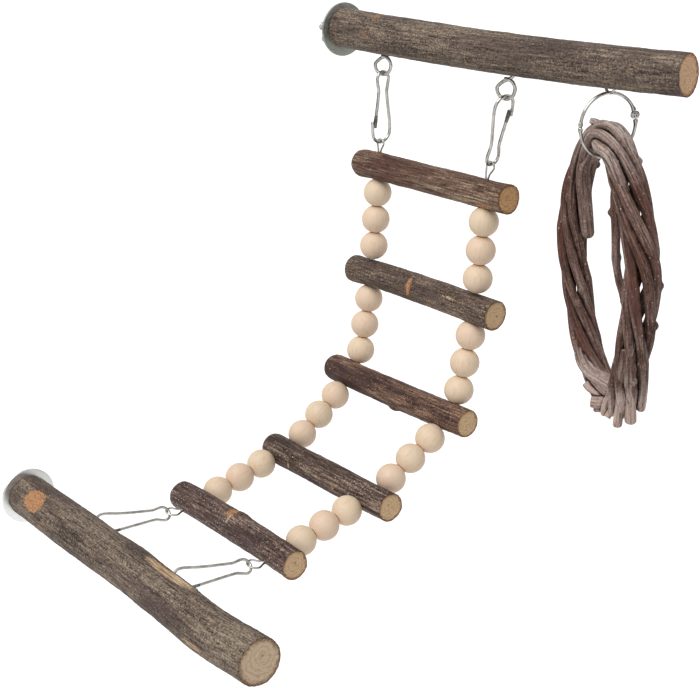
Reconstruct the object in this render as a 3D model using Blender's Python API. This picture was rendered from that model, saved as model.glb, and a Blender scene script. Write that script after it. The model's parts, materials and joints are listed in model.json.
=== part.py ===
"""A wooden bird ladder: two bark perches that bolt to a cage wall, a curved ladder of bark rungs and
wooden beads clipped between them with wire snap hooks, and a vine wreath on a binder ring.

Metres, +Z up. The cage wall is the plane X = 0, and the origin is on the upper perch's bolt.
Perches run along +X, and the ladder goes from the upper perch down towards -Y.
"""

import math

import bmesh
import bpy
from mathutils import Matrix, Vector

MM = 0.001
GAP = 0.3 * MM

# Perches
UPPER_LENGTH = 248.5 * MM
UPPER_RADII = (11.1 * MM, 10.85 * MM, 10.5 * MM, 10.05 * MM, 9.75 * MM)
UPPER_BEND = 7.4 * MM
LOWER_AXIS = Vector((0, -211.3 * MM, -231.1 * MM))
LOWER_LENGTH = 220 * MM
LOWER_RADII = (11.2 * MM, 11.5 * MM, 11.3 * MM, 11.0 * MM, 10.9 * MM, 11.0 * MM)
LOWER_BENDS = (0, -0.5 * MM, -0.4 * MM, 0.7 * MM, 0.1 * MM, -1.3 * MM, 1.2 * MM)

# Wall fixing: M5 hanger bolt, penny washer and wing nut
WASHER_RADIUS = 15 * MM
WASHER_THICK = 1.2 * MM
BOLT_RADIUS = 2.4 * MM
BOLT_OUTSIDE = 20.5 * MM
BOLT_INSIDE = 26 * MM
CLAMP_GAP = 3.0 * MM
NUT_RADIUS = 4.6 * MM
NUT_HEIGHT = 6.0 * MM
WING_REACH = 10.0 * MM
WING_HEIGHT = 9.5 * MM
WING_THICK = 2.0 * MM
WING_TURN = math.radians(35)

# Beads and rungs
BEAD_RADIUS = 8.0 * MM
BEAD_HALF_HEIGHT = 7.52 * MM
BEAD_BORE = 1.95 * MM
BEAD_PITCH = 15.28 * MM
BEAD_CLEARANCE = 0.15 * MM
BEADS_IN_A_GAP = 3
RUNG_RADIUS = 7.4 * MM
RUNG_1 = Vector((78 * MM, 0.6 * MM, -73.1 * MM))
RUNG_ENDS = ((17.0, 140.0), (18.0, 138.0), (18.3, 136.0), (28.5, 135.5), (25.0, 133.5))
HOLE_SPREAD = (45.0 * MM, 44.4 * MM, 43.0 * MM, 39.9 * MM, 39.7 * MM)
HOLE_RADIUS = 1.95 * MM
# Lean of each rung's hole and of each run of beads, in degrees from straight down towards -Y
HOLE_LEAN = (2.0, 4.9, 45.7, 75.6, 79.2)
RUN_LEAN = (5.35, 12.35, 55.0, 73.15)

# Ladder wire: two strands side by side, with a teardrop loop at each end
STRAND_RADIUS = 0.55 * MM
STRAND_OFFSET = 0.85 * MM
LOOP_HALF_WIDTH = 2.9 * MM
LOOP_HEIGHT = 11.0 * MM
TOP_LOOP_SHIFT = (1.5 * MM, 3.5 * MM)
LOWER_LOOP_HEIGHT = 8.0 * MM
LOWER_LOOP_LEAN = 88.0

# Wire snap hooks: U runs from the narrow end to the wide end, V to the fixed leg's side
HOOK_WIRE = 0.7 * MM
NARROW_RADIUS = 3.95 * MM
WIDE_RADIUS = 6.3 * MM
HOOK_LENGTH = 36.4 * MM
LOWER_HOOK_LENGTH = 46.6 * MM
HOOK_MIDDLE = 15 * MM
FIXED_LEG = ((7.0, 3.5), (9.5, 3.0), (12.5, 3.15), (20.0, 4.6), (26.5, 5.95))
GATE_LEG = ((4.66, -3.9), (7.0, -3.35), (9.5, -2.6), (12.5, -2.65), (28.4, -4.6))
HOOK_TIP = (25.5 * MM, -6.45 * MM)
GATE_PIVOT = (4.47 * MM, -3.92 * MM)

# Screw eyes
EYE_WIRE = 0.75 * MM
EYE_RADIUS = 4.5 * MM
EYE_SHANK = 13 * MM
SMALL_EYE_RADIUS = 2.7 * MM
UPPER_EYES = (36.0 * MM, 135.5 * MM)
RING_EYE = Vector((206.5 * MM, 0, -13.0 * MM))
EYE_TURN = math.radians(20)
LOWER_HOOK_ROLL = math.radians(45)
LOWER_HOOK_SLACK = 1.0 * MM
LOWER_HOOK_DROP = 8.0 * MM

# Binder ring
RING_WIRE = 0.85 * MM
RING_RADIUS = 15.15 * MM
RING_TURN = math.radians(-8)
KNUCKLE_AT = math.radians(15)
CLASP_AT = math.radians(180)
LUG_RADIUS = 2.1 * MM
LUG_THICK = 0.9 * MM

# Vine wreath
WREATH_TURN = math.radians(-17)
WREATH_HALF_WIDTH = 33 * MM
WREATH_HALF_HEIGHT = 67.5 * MM
WREATH_SHIFT = 0.5 * MM
WREATH_LEAN = 4.0 * MM
WREATH_SWAY = 2.2 * MM
WREATH_POINT = 0.2
VINE_RADIUS = 2.5 * MM
LANE_RADIUS = 5.75 * MM
BUNDLE_SWELL = 0.07
LANES = 6
VINES = 3
STEPS_A_TURN = 32
TWIST_A_TURN = 13 / 6
EVEN_TWIST = 0.16
END_THINNING = 0.1
INNER_VINE_RADIUS = 2.2 * MM
INNER_VINE_RUN = (72, -38)

GOODS = "wooden_bird_ladder"


def clear_scene():
    for obj in list(bpy.data.objects):
        bpy.data.objects.remove(obj, do_unlink=True)


def make_collection(name):
    collection = bpy.data.collections.new(name)
    bpy.context.scene.collection.children.link(collection)
    return collection


def make_material(name, colour, roughness, metallic=0.0):
    material = bpy.data.materials.new(name)
    material.use_nodes = True
    shader = material.node_tree.nodes["Principled BSDF"]
    shader.inputs["Base Color"].default_value = (*colour, 1)
    shader.inputs["Roughness"].default_value = roughness
    shader.inputs["Metallic"].default_value = metallic
    return material


clear_scene()
PARTS = make_collection(GOODS)
CUTTERS = make_collection("cutters")
BARK = make_material("perch_bark", (0.16, 0.12, 0.09), 0.85)
RUNG_BARK = make_material("rung_bark", (0.14, 0.09, 0.075), 0.8)
BEAD_WOOD = make_material("bead_wood", (0.76, 0.55, 0.36), 0.45)
VINE_BARK = make_material("vine_bark", (0.15, 0.095, 0.08), 0.8)
ZINC = make_material("zinc_washer", (0.42, 0.43, 0.41), 0.5, 1.0)
NICKEL = make_material("nickel_wire", (0.6, 0.58, 0.55), 0.25, 1.0)
STEEL = make_material("steel_bolt", (0.5, 0.5, 0.49), 0.4, 1.0)
PIVOTS = {None: (None, Vector())}


def pivot(name, place, parent=None):
    """An empty on a joint's axis, which carries everything that turns on it."""
    empty = bpy.data.objects.new("pivot_" + name, None)
    empty.empty_display_size = 5 * MM
    PARTS.objects.link(empty)
    above, above_place = PIVOTS[parent]
    empty.parent = above
    empty.location = Vector(place) - above_place
    PIVOTS[name] = (empty, Vector(place))


def place_object(name, data, material, place=(0, 0, 0), turn=None, on=None):
    """Adds an object at a world place, carried by a pivot, with a rotation matrix as its turn."""
    obj = bpy.data.objects.new(name, data)
    PARTS.objects.link(obj)
    data.materials.append(material)
    empty, empty_place = PIVOTS[on]
    obj.parent = empty
    obj.location = Vector(place) - empty_place
    if turn is not None:
        obj.rotation_euler = turn.to_euler()
    return obj


def frame_of(x_axis, z_axis):
    """A rotation whose X and Z follow two directions, Z exactly."""
    z = Vector(z_axis).normalized()
    y = z.cross(Vector(x_axis)).normalized()
    x = y.cross(z)
    return Matrix((x, y, z)).transposed()


def tube_data(name, points, radius, sides=1, radii=None):
    """A round tube along points, closed by flat caps."""
    curve = bpy.data.curves.new(name, "CURVE")
    curve.dimensions = "3D"
    curve.bevel_depth = radius
    curve.bevel_resolution = sides
    curve.use_fill_caps = True
    spline = curve.splines.new("POLY")
    spline.points.add(len(points) - 1)
    for i, point in enumerate(points):
        spline.points[i].co = (*point, 1)
        spline.points[i].radius = radii[i] if radii else 1
    return curve


def mesh_of_tube(name, points, radius, sides=2, radii=None):
    """The same tube as a mesh, for joining to other shapes."""
    curve = tube_data(name + "_curve", points, radius, sides, radii)
    obj = bpy.data.objects.new(name + "_curve", curve)
    CUTTERS.objects.link(obj)
    mesh = bpy.data.meshes.new_from_object(obj)
    bpy.data.objects.remove(obj, do_unlink=True)
    work = bmesh.new()
    work.from_mesh(mesh)
    bmesh.ops.remove_doubles(work, verts=work.verts, dist=1e-6)
    bmesh.ops.recalc_face_normals(work, faces=work.faces)
    work.to_mesh(mesh)
    work.free()
    return mesh


def mesh_from(name, vertices, faces):
    mesh = bpy.data.meshes.new(name)
    mesh.from_pydata([tuple(v) for v in vertices], [], faces)
    work = bmesh.new()
    work.from_mesh(mesh)
    bmesh.ops.recalc_face_normals(work, faces=work.faces)
    work.to_mesh(mesh)
    work.free()
    return mesh


def lathe(name, profile, steps):
    """A closed (radius, height) profile turned round Z. A point on the axis is a single vertex."""
    vertices = []
    rows = []
    for radius, height in profile:
        if radius < 1e-9:
            rows.append([len(vertices)] * steps)
            vertices.append((0, 0, height))
            continue
        rows.append(list(range(len(vertices), len(vertices) + steps)))
        for k in range(steps):
            angle = 2 * math.pi * k / steps
            vertices.append((radius * math.cos(angle), radius * math.sin(angle), height))
    faces = []
    for i in range(len(rows)):
        upper, lower = rows[i - 1], rows[i]
        if i == 0 and profile[0][0] < 1e-9:
            continue
        for k in range(steps):
            n = (k + 1) % steps
            ring = [upper[k], upper[n], lower[n], lower[k]]
            corners = [v for j, v in enumerate(ring) if v != ring[j - 1]]
            if len(corners) > 2:
                faces.append(corners)
    return mesh_from(name, vertices, faces)


def branch(name, length, radius_at, axis_at, phase, sides=14, rings=14):
    """A natural branch along +X: rings of slightly uneven section on a slightly bent axis."""
    vertices = []
    faces = []
    for i in range(rings):
        t = i / (rings - 1)
        centre = axis_at(t)
        for k in range(sides):
            angle = 2 * math.pi * k / sides
            uneven = 1 + 0.012 * math.sin(2 * angle + phase + 5 * t) + 0.008 * math.sin(3 * angle + 2 * phase)
            radius = radius_at(t) * uneven
            side = Vector((0, math.cos(angle), math.sin(angle))) * radius
            vertices.append(Vector((length * t, 0, 0)) + centre + side)
    for i in range(rings - 1):
        for k in range(sides):
            a, b = i * sides + k, i * sides + (k + 1) % sides
            faces.append((a, b, b + sides, a + sides))
    faces.append(tuple(range(sides)))
    faces.append(tuple(range((rings - 1) * sides, rings * sides)))
    return mesh_from(name, vertices, faces)


def between(values, t):
    """A value read along an evenly spaced row, eased between its members."""
    at = t * (len(values) - 1)
    i = min(int(at), len(values) - 2)
    ease = (1 - math.cos(math.pi * (at - i))) / 2
    return values[i] + (values[i + 1] - values[i]) * ease


def cut(obj, name, mesh, place, turn=None):
    """Takes a hidden cutter's shape out of an object."""
    cutter = bpy.data.objects.new("cut_" + name, mesh)
    CUTTERS.objects.link(cutter)
    cutter.location = place
    if turn is not None:
        cutter.rotation_euler = turn.to_euler()
    cutter.hide_render = True
    cutter.display_type = "WIRE"
    modifier = obj.modifiers.new(name, "BOOLEAN")
    modifier.operation = "DIFFERENCE"
    modifier.solver = "EXACT"
    modifier.object = cutter


def join(obj, name, mesh, place, turn=None):
    """Joins a hidden shape to an object."""
    cut(obj, name, mesh, place, turn)
    obj.modifiers[name].operation = "UNION"


def rod(name, radius, low, high, steps=12):
    return lathe(name, ((0, low), (radius, low), (radius, high), (0, high)), steps)


def lean(degrees):
    """The direction straight down, leant towards -Y."""
    angle = math.radians(degrees)
    return Vector((0, -math.sin(angle), -math.cos(angle)))


def bead_reach(bend):
    """How far along a bent wire the bead's centre is from a rung's surface, so that both just clear."""
    along = RUNG_RADIUS * math.cos(math.radians(bend))
    apart = RUNG_RADIUS + BEAD_RADIUS + BEAD_CLEARANCE
    return math.sqrt(along**2 - RUNG_RADIUS**2 + apart**2) - along


def lay_out_ladder():
    """Rung centres, bead centres and the points where wire leaves and enters rungs, in the YZ plane."""
    centres = [RUNG_1.copy()]
    runs = []
    for gap, run_lean in enumerate(RUN_LEAN):
        leave = centres[gap] + lean(HOLE_LEAN[gap]) * RUNG_RADIUS
        first = bead_reach(run_lean - HOLE_LEAN[gap])
        last = bead_reach(HOLE_LEAN[gap + 1] - run_lean)
        beads = [first + k * BEAD_PITCH for k in range(BEADS_IN_A_GAP)]
        whole = beads[-1] + last
        enter = leave + lean(run_lean) * whole
        runs.append((leave, enter, [along / whole for along in beads]))
        centres.append(enter + lean(HOLE_LEAN[gap + 1]) * RUNG_RADIUS)
    return centres, runs


CENTRES, RUNS = lay_out_ladder()
SIDES = (("left", -1), ("right", 1))
BEARING_AT_EYE = HOOK_WIRE + EYE_WIRE + GAP
BEARING_AT_LOOP = HOOK_WIRE + STRAND_RADIUS + GAP
HOOK_SPAN = HOOK_LENGTH - BEARING_AT_EYE - BEARING_AT_LOOP
LOWER_HOOK_SPAN = LOWER_HOOK_LENGTH - BEARING_AT_EYE - BEARING_AT_LOOP


def hole_x(rung, side):
    return RUNG_1.x + side * HOLE_SPREAD[rung]


def loop_place(rung, side):
    """The middle of a teardrop loop's outermost wire: above rung 1, or beyond rung 5."""
    if rung == 0:
        shift = TOP_LOOP_SHIFT[side > 0]
        height = LOOP_HEIGHT
        outward = -lean(0)
    else:
        shift = 0
        height = LOWER_LOOP_HEIGHT
        outward = lean(LOWER_LOOP_LEAN)
    centre = Vector((hole_x(rung, side) + shift, CENTRES[rung].y, CENTRES[rung].z))
    return centre + outward * (RUNG_RADIUS + height)


def upper_eye_place(side):
    """The upper eye's lowest wire, one hook's span above rung 1's loop."""
    loop = loop_place(0, side)
    x = UPPER_EYES[side > 0]
    rise = math.sqrt(HOOK_SPAN**2 - (x - loop.x) ** 2)
    return Vector((x, loop.y, loop.z + rise))


def lower_eye_place(side):
    """The lower eye's outer wire, within a hook's span of rung 5's loop, towards the perch's underside."""
    loop = loop_place(4, side)
    aim = Vector((loop.x, LOWER_AXIS.y, LOWER_AXIS.z - LOWER_HOOK_DROP))
    return loop + (aim - loop).normalized() * (LOWER_HOOK_SPAN - LOWER_HOOK_SLACK)


pivot("upper_left_hook", upper_eye_place(-1))
pivot("upper_right_hook", upper_eye_place(1))
pivot("rung_1", loop_place(0, -1), "upper_left_hook")
pivot("rung_2", CENTRES[1], "rung_1")
pivot("rung_3", CENTRES[2], "rung_2")
pivot("rung_4", CENTRES[3], "rung_3")
pivot("lower_left_hook", loop_place(4, -1), "rung_4")
pivot("lower_right_hook", loop_place(4, 1), "rung_4")
pivot("binder_ring", RING_EYE)
RUNG_CARRIER = ("rung_1", "rung_2", "rung_3", "rung_4", "rung_4")


def upper_axis(t):
    """The upper perch's bent middle, from the wall (0) to the outer end (1)."""
    return Vector((0, 0.4 * MM * math.sin(7 * t), UPPER_BEND * ((t - 0.42) ** 2 - 0.04)))


def lower_axis(t):
    """The lower perch's crooked middle."""
    return Vector((0, 0.6 * MM * math.sin(6 * t), between(LOWER_BENDS, t)))


def make_perches():
    upper = branch(
        "upper_perch",
        UPPER_LENGTH,
        lambda t: between(UPPER_RADII, t),
        upper_axis,
        0.4,
        rings=16,
    )
    start = Vector((WASHER_THICK + GAP, 0, 0))
    upper = place_object("upper_perch", upper, BARK, start)
    lower = branch(
        "lower_perch",
        LOWER_LENGTH,
        lambda t: between(LOWER_RADII, t),
        lower_axis,
        2.1,
        rings=19,
    )
    lower = place_object("lower_perch", lower, BARK, start + LOWER_AXIS)
    along_x = frame_of((0, 0, -1), (1, 0, 0))
    for perch, place in ((upper, Vector()), (lower, LOWER_AXIS)):
        hole = rod(perch.name + "_bolt_hole", BOLT_RADIUS + GAP, -5 * MM, BOLT_INSIDE + 2 * MM)
        cut(perch, perch.name + "_bolt_hole", hole, place, along_x)
    return upper, lower


def make_wall_fixing(which, place):
    along_x = frame_of((0, 0, -1), (1, 0, 0))
    washer = lathe(
        which + "_washer",
        (
            (WASHER_RADIUS, 0),
            (WASHER_RADIUS, WASHER_THICK),
            (BOLT_RADIUS + GAP, WASHER_THICK),
            (BOLT_RADIUS + GAP, 0),
        ),
        32,
    )
    place_object(which + "_washer", washer, ZINC, place, along_x)
    chamfer = 0.8 * MM
    bolt = lathe(
        which + "_hanger_bolt",
        (
            (0, -BOLT_OUTSIDE),
            (BOLT_RADIUS - chamfer, -BOLT_OUTSIDE),
            (BOLT_RADIUS, -BOLT_OUTSIDE + chamfer),
            (BOLT_RADIUS, BOLT_INSIDE - 8 * MM),
            (0, BOLT_INSIDE),
        ),
        12,
    )
    place_object(which + "_hanger_bolt", bolt, STEEL, place, along_x)
    bore = BOLT_RADIUS + GAP
    seat = Vector(place) + Vector((-CLAMP_GAP, 0, 0))
    hub = lathe(
        which + "_wing_nut",
        (
            (bore, 0),
            (NUT_RADIUS, 0),
            (NUT_RADIUS, 0.35 * NUT_HEIGHT),
            (0.84 * NUT_RADIUS, NUT_HEIGHT),
            (bore, NUT_HEIGHT),
        ),
        16,
    )
    pivot(which + "_wing_nut", seat)
    backwards = frame_of((0, math.sin(WING_TURN), math.cos(WING_TURN)), (-1, 0, 0))
    nut = place_object(which + "_wing_nut", hub, STEEL, seat, backwards, which + "_wing_nut")
    for side in (-1, 1):
        name = which + ("_first_wing" if side < 0 else "_second_wing")
        join(nut, name, wing(name, side), seat, backwards)


def wing(name, side):
    """One flat rounded wing, from inside the hub's wall to the tip."""
    root = 0.8 * NUT_RADIUS
    tip_radius = 2.6 * MM
    outline = [(root, 0.12 * NUT_HEIGHT), (NUT_RADIUS + 1 * MM, 0.3 * NUT_HEIGHT)]
    for k in range(7):
        angle = math.radians(-60 + 35 * k)
        out = WING_REACH - tip_radius + tip_radius * math.cos(angle)
        outline.append((out, WING_HEIGHT - tip_radius + tip_radius * math.sin(angle)))
    outline.append((root, 0.85 * NUT_HEIGHT))
    vertices = []
    for y in (-WING_THICK / 2, WING_THICK / 2):
        vertices += [(side * x, y, z) for x, z in outline]
    n = len(outline)
    faces = [tuple(range(n)), tuple(range(n, 2 * n))]
    for k in range(n):
        faces.append((k, (k + 1) % n, n + (k + 1) % n, n + k))
    return mesh_from(name, vertices, faces)


def make_eye(name, perch, place, into, radius, neck, turn=0.0, carved=False):
    """A screw eye: its ring's outermost wire is at place, and its shank runs along into the perch."""
    points = [(0, 0, 2 * radius + neck + EYE_SHANK), (0, 0, 2 * radius + neck)]
    points.append((-0.05 * radius, 0, 2 * radius + 0.35 * neck))
    for k in range(15):
        angle = math.radians(103 + 326 * k / 14)
        points.append((radius * math.cos(angle), 0, radius + radius * math.sin(angle)))
    side = Vector((math.cos(turn), math.sin(turn), 0))
    frame = frame_of(side, into)
    place_object(name, tube_data(name, points, EYE_WIRE), NICKEL, place, frame)
    hole = rod(name + "_hole", EYE_WIRE + GAP, 2 * radius, 2 * radius + neck + EYE_SHANK + 1 * MM, 8)
    cut(perch, name + "_hole", hole, place, frame)
    if carved:
        half = radius + EYE_WIRE + GAP
        slot = rod(name + "_slot", half, -EYE_WIRE - GAP, EYE_WIRE + GAP, 16)
        ring_centre = Vector(place) + Vector(into) * radius
        cut(perch, name + "_slot", slot, ring_centre, frame_of(into, frame.col[1]))


def make_eyes(upper, lower):
    up = Vector((0, 0, 1))
    for which, side in SIDES:
        place = upper_eye_place(side)
        t = place.x / UPPER_LENGTH
        neck = upper_axis(t).z - between(UPPER_RADII, t) - place.z - 2 * EYE_RADIUS
        make_eye(f"upper_{which}_eye", upper, place, up, EYE_RADIUS, neck, EYE_TURN)
    make_eye("ring_eye", upper, RING_EYE, up, SMALL_EYE_RADIUS, 1.0 * MM, carved=True)
    for which, side in SIDES:
        place = lower_eye_place(side)
        into = Vector((0, LOWER_AXIS.y - place.y, LOWER_AXIS.z - place.z))
        neck = into.length - between(LOWER_RADII, place.x / LOWER_LENGTH) - 2 * EYE_RADIUS
        make_eye(f"lower_{which}_eye", lower, place, into.normalized(), EYE_RADIUS, neck)


def hook_outline(length):
    """The fixed wire of a snap hook, from the gate's root round both ends to the upturned tip."""
    outline = []
    for k in range(9):
        angle = math.radians(-95 + 190 * k / 8)
        outline.append((NARROW_RADIUS * (1 - math.cos(angle)), NARROW_RADIUS * math.sin(angle)))
    outline += [stretched(u * MM, v * MM, length) for u, v in FIXED_LEG]
    for k in range(10):
        angle = math.radians(10 + 148 * k / 9)
        centre = length - WIDE_RADIUS
        outline.append((centre + WIDE_RADIUS * math.sin(angle), WIDE_RADIUS * math.cos(angle)))
    outline.append(stretched(*HOOK_TIP, length))
    return outline


def stretched(u, v, length):
    """A point of the short hook, moved along for a longer one when it is past the middle."""
    return (u + length - HOOK_LENGTH if u > HOOK_MIDDLE else u, v)


def make_hook(which, place, at, along, fixed_side, length=HOOK_LENGTH):
    """A snap hook whose point (at, 0) is at place, with U along one direction and V near another."""
    u_axis = Vector(along).normalized()
    normal = u_axis.cross(Vector(fixed_side)).normalized()
    v_axis = normal.cross(u_axis)
    start = Vector(place) - u_axis * at

    def world(uv):
        return start + u_axis * uv[0] + v_axis * uv[1]

    body = [world(uv) - Vector(place) for uv in hook_outline(length)]
    name = which + "_hook"
    place_object(name, tube_data(name, body, HOOK_WIRE), NICKEL, place, on=name)
    root = world(GATE_PIVOT)
    pivot(which + "_gate", root, name)
    leg = [world(stretched(u * MM, v * MM, length)) - root for u, v in GATE_LEG]
    name = which + "_gate"
    place_object(name, tube_data(name, leg, HOOK_WIRE), NICKEL, root, on=name)
    print(f"{name}: pivot {[round(c, 5) for c in root]} axis {[round(c, 4) for c in normal]}")


def make_hooks():
    eye = upper_eye_place(-1)
    loop = loop_place(0, -1)
    make_hook("upper_left", eye, BEARING_AT_EYE, loop - eye, (0, 1, 0))
    eye = upper_eye_place(1)
    loop = loop_place(0, 1)
    make_hook("upper_right", eye, HOOK_LENGTH - BEARING_AT_EYE, eye - loop, (0, -1, 0))
    for which, side in SIDES:
        loop = loop_place(4, side)
        eye = lower_eye_place(side)
        away = Vector((-math.sin(LOWER_HOOK_ROLL), 0, math.cos(LOWER_HOOK_ROLL)))
        make_hook(f"lower_{which}", loop, BEARING_AT_LOOP, eye - loop, away, LOWER_HOOK_LENGTH)


def make_rungs():
    for k, (low, high) in enumerate(RUNG_ENDS):
        name = f"rung_{k + 1}"
        length = (high - low) * MM
        first = (hole_x(k, -1) - low * MM) / length
        last = (hole_x(k, 1) - low * MM) / length

        def radius_at(t, k=k):
            return RUNG_RADIUS * (0.985 + 0.02 * math.sin(2.2 * k + 6 * t) * (t - 0.5) ** 2 * 4)

        def axis_at(t, k=k, first=first, last=last):
            bow = (t - first) * (last - t) * 3.2 * MM
            return Vector((0, bow * math.cos(1.7 * k), bow * math.sin(1.7 * k)))

        mesh = branch(name, length, radius_at, axis_at, 1.3 * k, rings=9)
        place = Vector((low * MM, CENTRES[k].y, CENTRES[k].z))
        rung = place_object(name, mesh, RUNG_BARK, place, on=RUNG_CARRIER[k])
        for which, side in SIDES:
            hole = rod(f"{name}_{which}_hole", HOLE_RADIUS, -12 * MM, 12 * MM)
            centre = Vector((hole_x(k, side), CENTRES[k].y, CENTRES[k].z))
            cut(rung, f"{name}_{which}_hole", hole, centre, frame_of((1, 0, 0), lean(HOLE_LEAN[k])))


def run_point(gap, side, share):
    """A point on a run of beads, from the rung above (0) to the rung below (1)."""
    leave, enter, _ = RUNS[gap]
    place = leave.lerp(enter, share)
    place.x = hole_x(gap, side) + (hole_x(gap + 1, side) - hole_x(gap, side)) * share
    return place


def make_beads():
    edge = math.sqrt(BEAD_RADIUS**2 - BEAD_HALF_HEIGHT**2)
    start = math.atan2(BEAD_HALF_HEIGHT, edge)
    profile = [(BEAD_BORE, -BEAD_HALF_HEIGHT), (BEAD_BORE, BEAD_HALF_HEIGHT)]
    for k in range(8):
        angle = start * (1 - 2 * k / 7)
        profile.append((BEAD_RADIUS * math.cos(angle), BEAD_RADIUS * math.sin(angle)))
    for gap, (_, _, shares) in enumerate(RUNS):
        for which, side in SIDES:
            axis = run_point(gap, side, 0) - run_point(gap, side, 1)
            frame = frame_of((1, 0, 0), axis)
            for k, share in enumerate(shares):
                name = f"bead_{which}_{gap + 1}{k + 1}"
                mesh = lathe(name, profile, 12)
                place = run_point(gap, side, share)
                place_object(name, mesh, BEAD_WOOD, place, frame, RUNG_CARRIER[gap])


def hairpin(way, bend_over):
    """Both strands of a doubled wire: out along one side of a way, round a teardrop, and back."""
    across = Vector((1, 0, 0)) * STRAND_OFFSET
    out = [point - across for point in way]
    back = [point + across for point in reversed(way)]
    return out + bend_over + back


def teardrop(root, tip):
    """Loop points from a wire's root at a rung to the loop's outermost wire and back."""
    axis = tip - root
    along = axis.normalized()
    across = Vector((1, 0, 0)) - along * along.x
    across.normalize()
    points = []
    centre = tip - along * LOOP_HALF_WIDTH
    for k in range(9):
        angle = math.radians(-110 + 220 * k / 8)
        offset = along * math.cos(angle) + across * math.sin(angle)
        points.append(centre + offset * LOOP_HALF_WIDTH)
    return points


def make_wires():
    for which, side in SIDES:
        top = loop_place(0, side)
        crown = Vector((hole_x(0, side), CENTRES[0].y, CENTRES[0].z)) - lean(HOLE_LEAN[0]) * RUNG_RADIUS
        way = [Vector((hole_x(2, side), CENTRES[2].y, CENTRES[2].z)) - lean(HOLE_LEAN[2]) * 1.5 * MM]
        for gap in (1, 0):
            way += [run_point(gap, side, 1), run_point(gap, side, 0)]
        way.append(crown)
        points = hairpin(way, teardrop(crown, top))
        start = PIVOTS["rung_1"][1]
        name = f"{which}_upper_wire"
        wire = tube_data(name, [p - start for p in points], STRAND_RADIUS)
        place_object(name, wire, STEEL, start, on="rung_1")
        bottom = loop_place(4, side)
        crown = Vector((hole_x(4, side), CENTRES[4].y, CENTRES[4].z)) + lean(HOLE_LEAN[4]) * RUNG_RADIUS
        way = [Vector((hole_x(2, side), CENTRES[2].y, CENTRES[2].z)) + lean(HOLE_LEAN[2]) * 1.5 * MM]
        for gap in (2, 3):
            way += [run_point(gap, side, 0), run_point(gap, side, 1)]
        way.append(crown)
        points = hairpin(way, teardrop(crown, bottom))
        start = PIVOTS["rung_4"][1]
        name = f"{which}_lower_wire"
        wire = tube_data(name, [p - start for p in points], STRAND_RADIUS)
        place_object(name, wire, STEEL, start, on="rung_4")


RING_NORMAL = Vector((math.cos(RING_TURN), math.sin(RING_TURN), 0))
RING_ACROSS = Vector((-math.sin(RING_TURN), math.cos(RING_TURN), 0))
RING_CENTRE = RING_EYE - Vector((0, 0, RING_RADIUS - RING_WIRE - EYE_WIRE - GAP))


def ring_point(angle):
    upward = Vector((0, 0, math.sin(angle)))
    return RING_CENTRE + (RING_ACROSS * math.cos(angle) + upward) * RING_RADIUS


def make_ring():
    knuckle = ring_point(KNUCKLE_AT)
    clear = (LUG_RADIUS + GAP) / RING_RADIUS
    close = 0.5 * GAP / RING_RADIUS
    turn = frame_of((0, 0, 1), RING_NORMAL)
    pivot("ring_knuckle", knuckle, "binder_ring")
    halves = (
        ("binder_ring_upper", KNUCKLE_AT + clear, CLASP_AT - close, -1, "binder_ring"),
        ("binder_ring_lower", KNUCKLE_AT + 2 * math.pi - clear, CLASP_AT + close, 1, "ring_knuckle"),
    )
    for name, first, last, side, carrier in halves:
        steps = 15
        angles = [first + (last - first) * k / steps for k in range(steps + 1)]
        points = [ring_point(a) - knuckle for a in angles]
        swell = [1.0] * (steps - 1) + [1.15, 1.35]
        mesh = mesh_of_tube(name, points, RING_WIRE, 2, swell)
        half = place_object(name, mesh, NICKEL, knuckle, on=carrier)
        low = side * 0.5 * GAP
        high = side * (0.5 * GAP + LUG_THICK)
        bore = 1.0 * MM
        if side < 0:
            lug = rod(name + "_lug", LUG_RADIUS, high, low, 14)
        else:
            profile = ((LUG_RADIUS, low), (LUG_RADIUS, high), (bore, high), (bore, low))
            lug = lathe(name + "_lug", profile, 14)
        join(half, name + "_lug", lug, knuckle, turn)
        tongue = lug_tongue(name, knuckle, ring_point(first + (last - first) / steps * 0.7), low, high)
        join(half, name + "_tongue", tongue, knuckle)
        if side < 0:
            pin = bore - GAP
            head = 0.5 * GAP + LUG_THICK
            rivet = lathe(
                name + "_rivet",
                (
                    (0, -0.6 * LUG_THICK),
                    (pin, -0.6 * LUG_THICK),
                    (pin, head + GAP),
                    (1.35 * MM, head + GAP),
                    (1.1 * MM, head + GAP + 0.6 * MM),
                    (0, head + GAP + 0.6 * MM),
                ),
                12,
            )
            join(half, name + "_rivet", rivet, knuckle, turn)


def lug_tongue(name, knuckle, end, low, high):
    """A flat tongue from a lug to its half of the ring."""
    along = (end - knuckle).normalized()
    across = RING_NORMAL.cross(along)
    start = along * LUG_RADIUS * 0.55 if low > 0 else along * 0.2 * LUG_RADIUS
    stop = end - knuckle
    half_width = 0.7 * MM
    vertices = []
    for depth in (low, high):
        for base in (start, stop):
            for side in (-1, 1):
                vertices.append(base + across * side * half_width + RING_NORMAL * depth)
    faces = [(0, 1, 3, 2), (4, 5, 7, 6), (0, 1, 5, 4), (2, 3, 7, 6), (0, 2, 6, 4), (1, 3, 7, 5)]
    return mesh_from(name + "_tongue", vertices, faces)


RING_FOOT = RING_CENTRE - Vector((0, 0, RING_RADIUS))
BUNDLE_RADIUS = LANE_RADIUS + VINE_RADIUS
WREATH_ACROSS = Vector((math.cos(WREATH_TURN), math.sin(WREATH_TURN), 0))
WREATH_NORMAL = Vector((-math.sin(WREATH_TURN), math.cos(WREATH_TURN), 0))
WREATH_TOP = RING_FOOT + Vector((0, 0, RING_WIRE + 0.8 * MM + BUNDLE_RADIUS))
WREATH_CENTRE = WREATH_TOP - Vector((0, 0, WREATH_HALF_HEIGHT))


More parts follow.
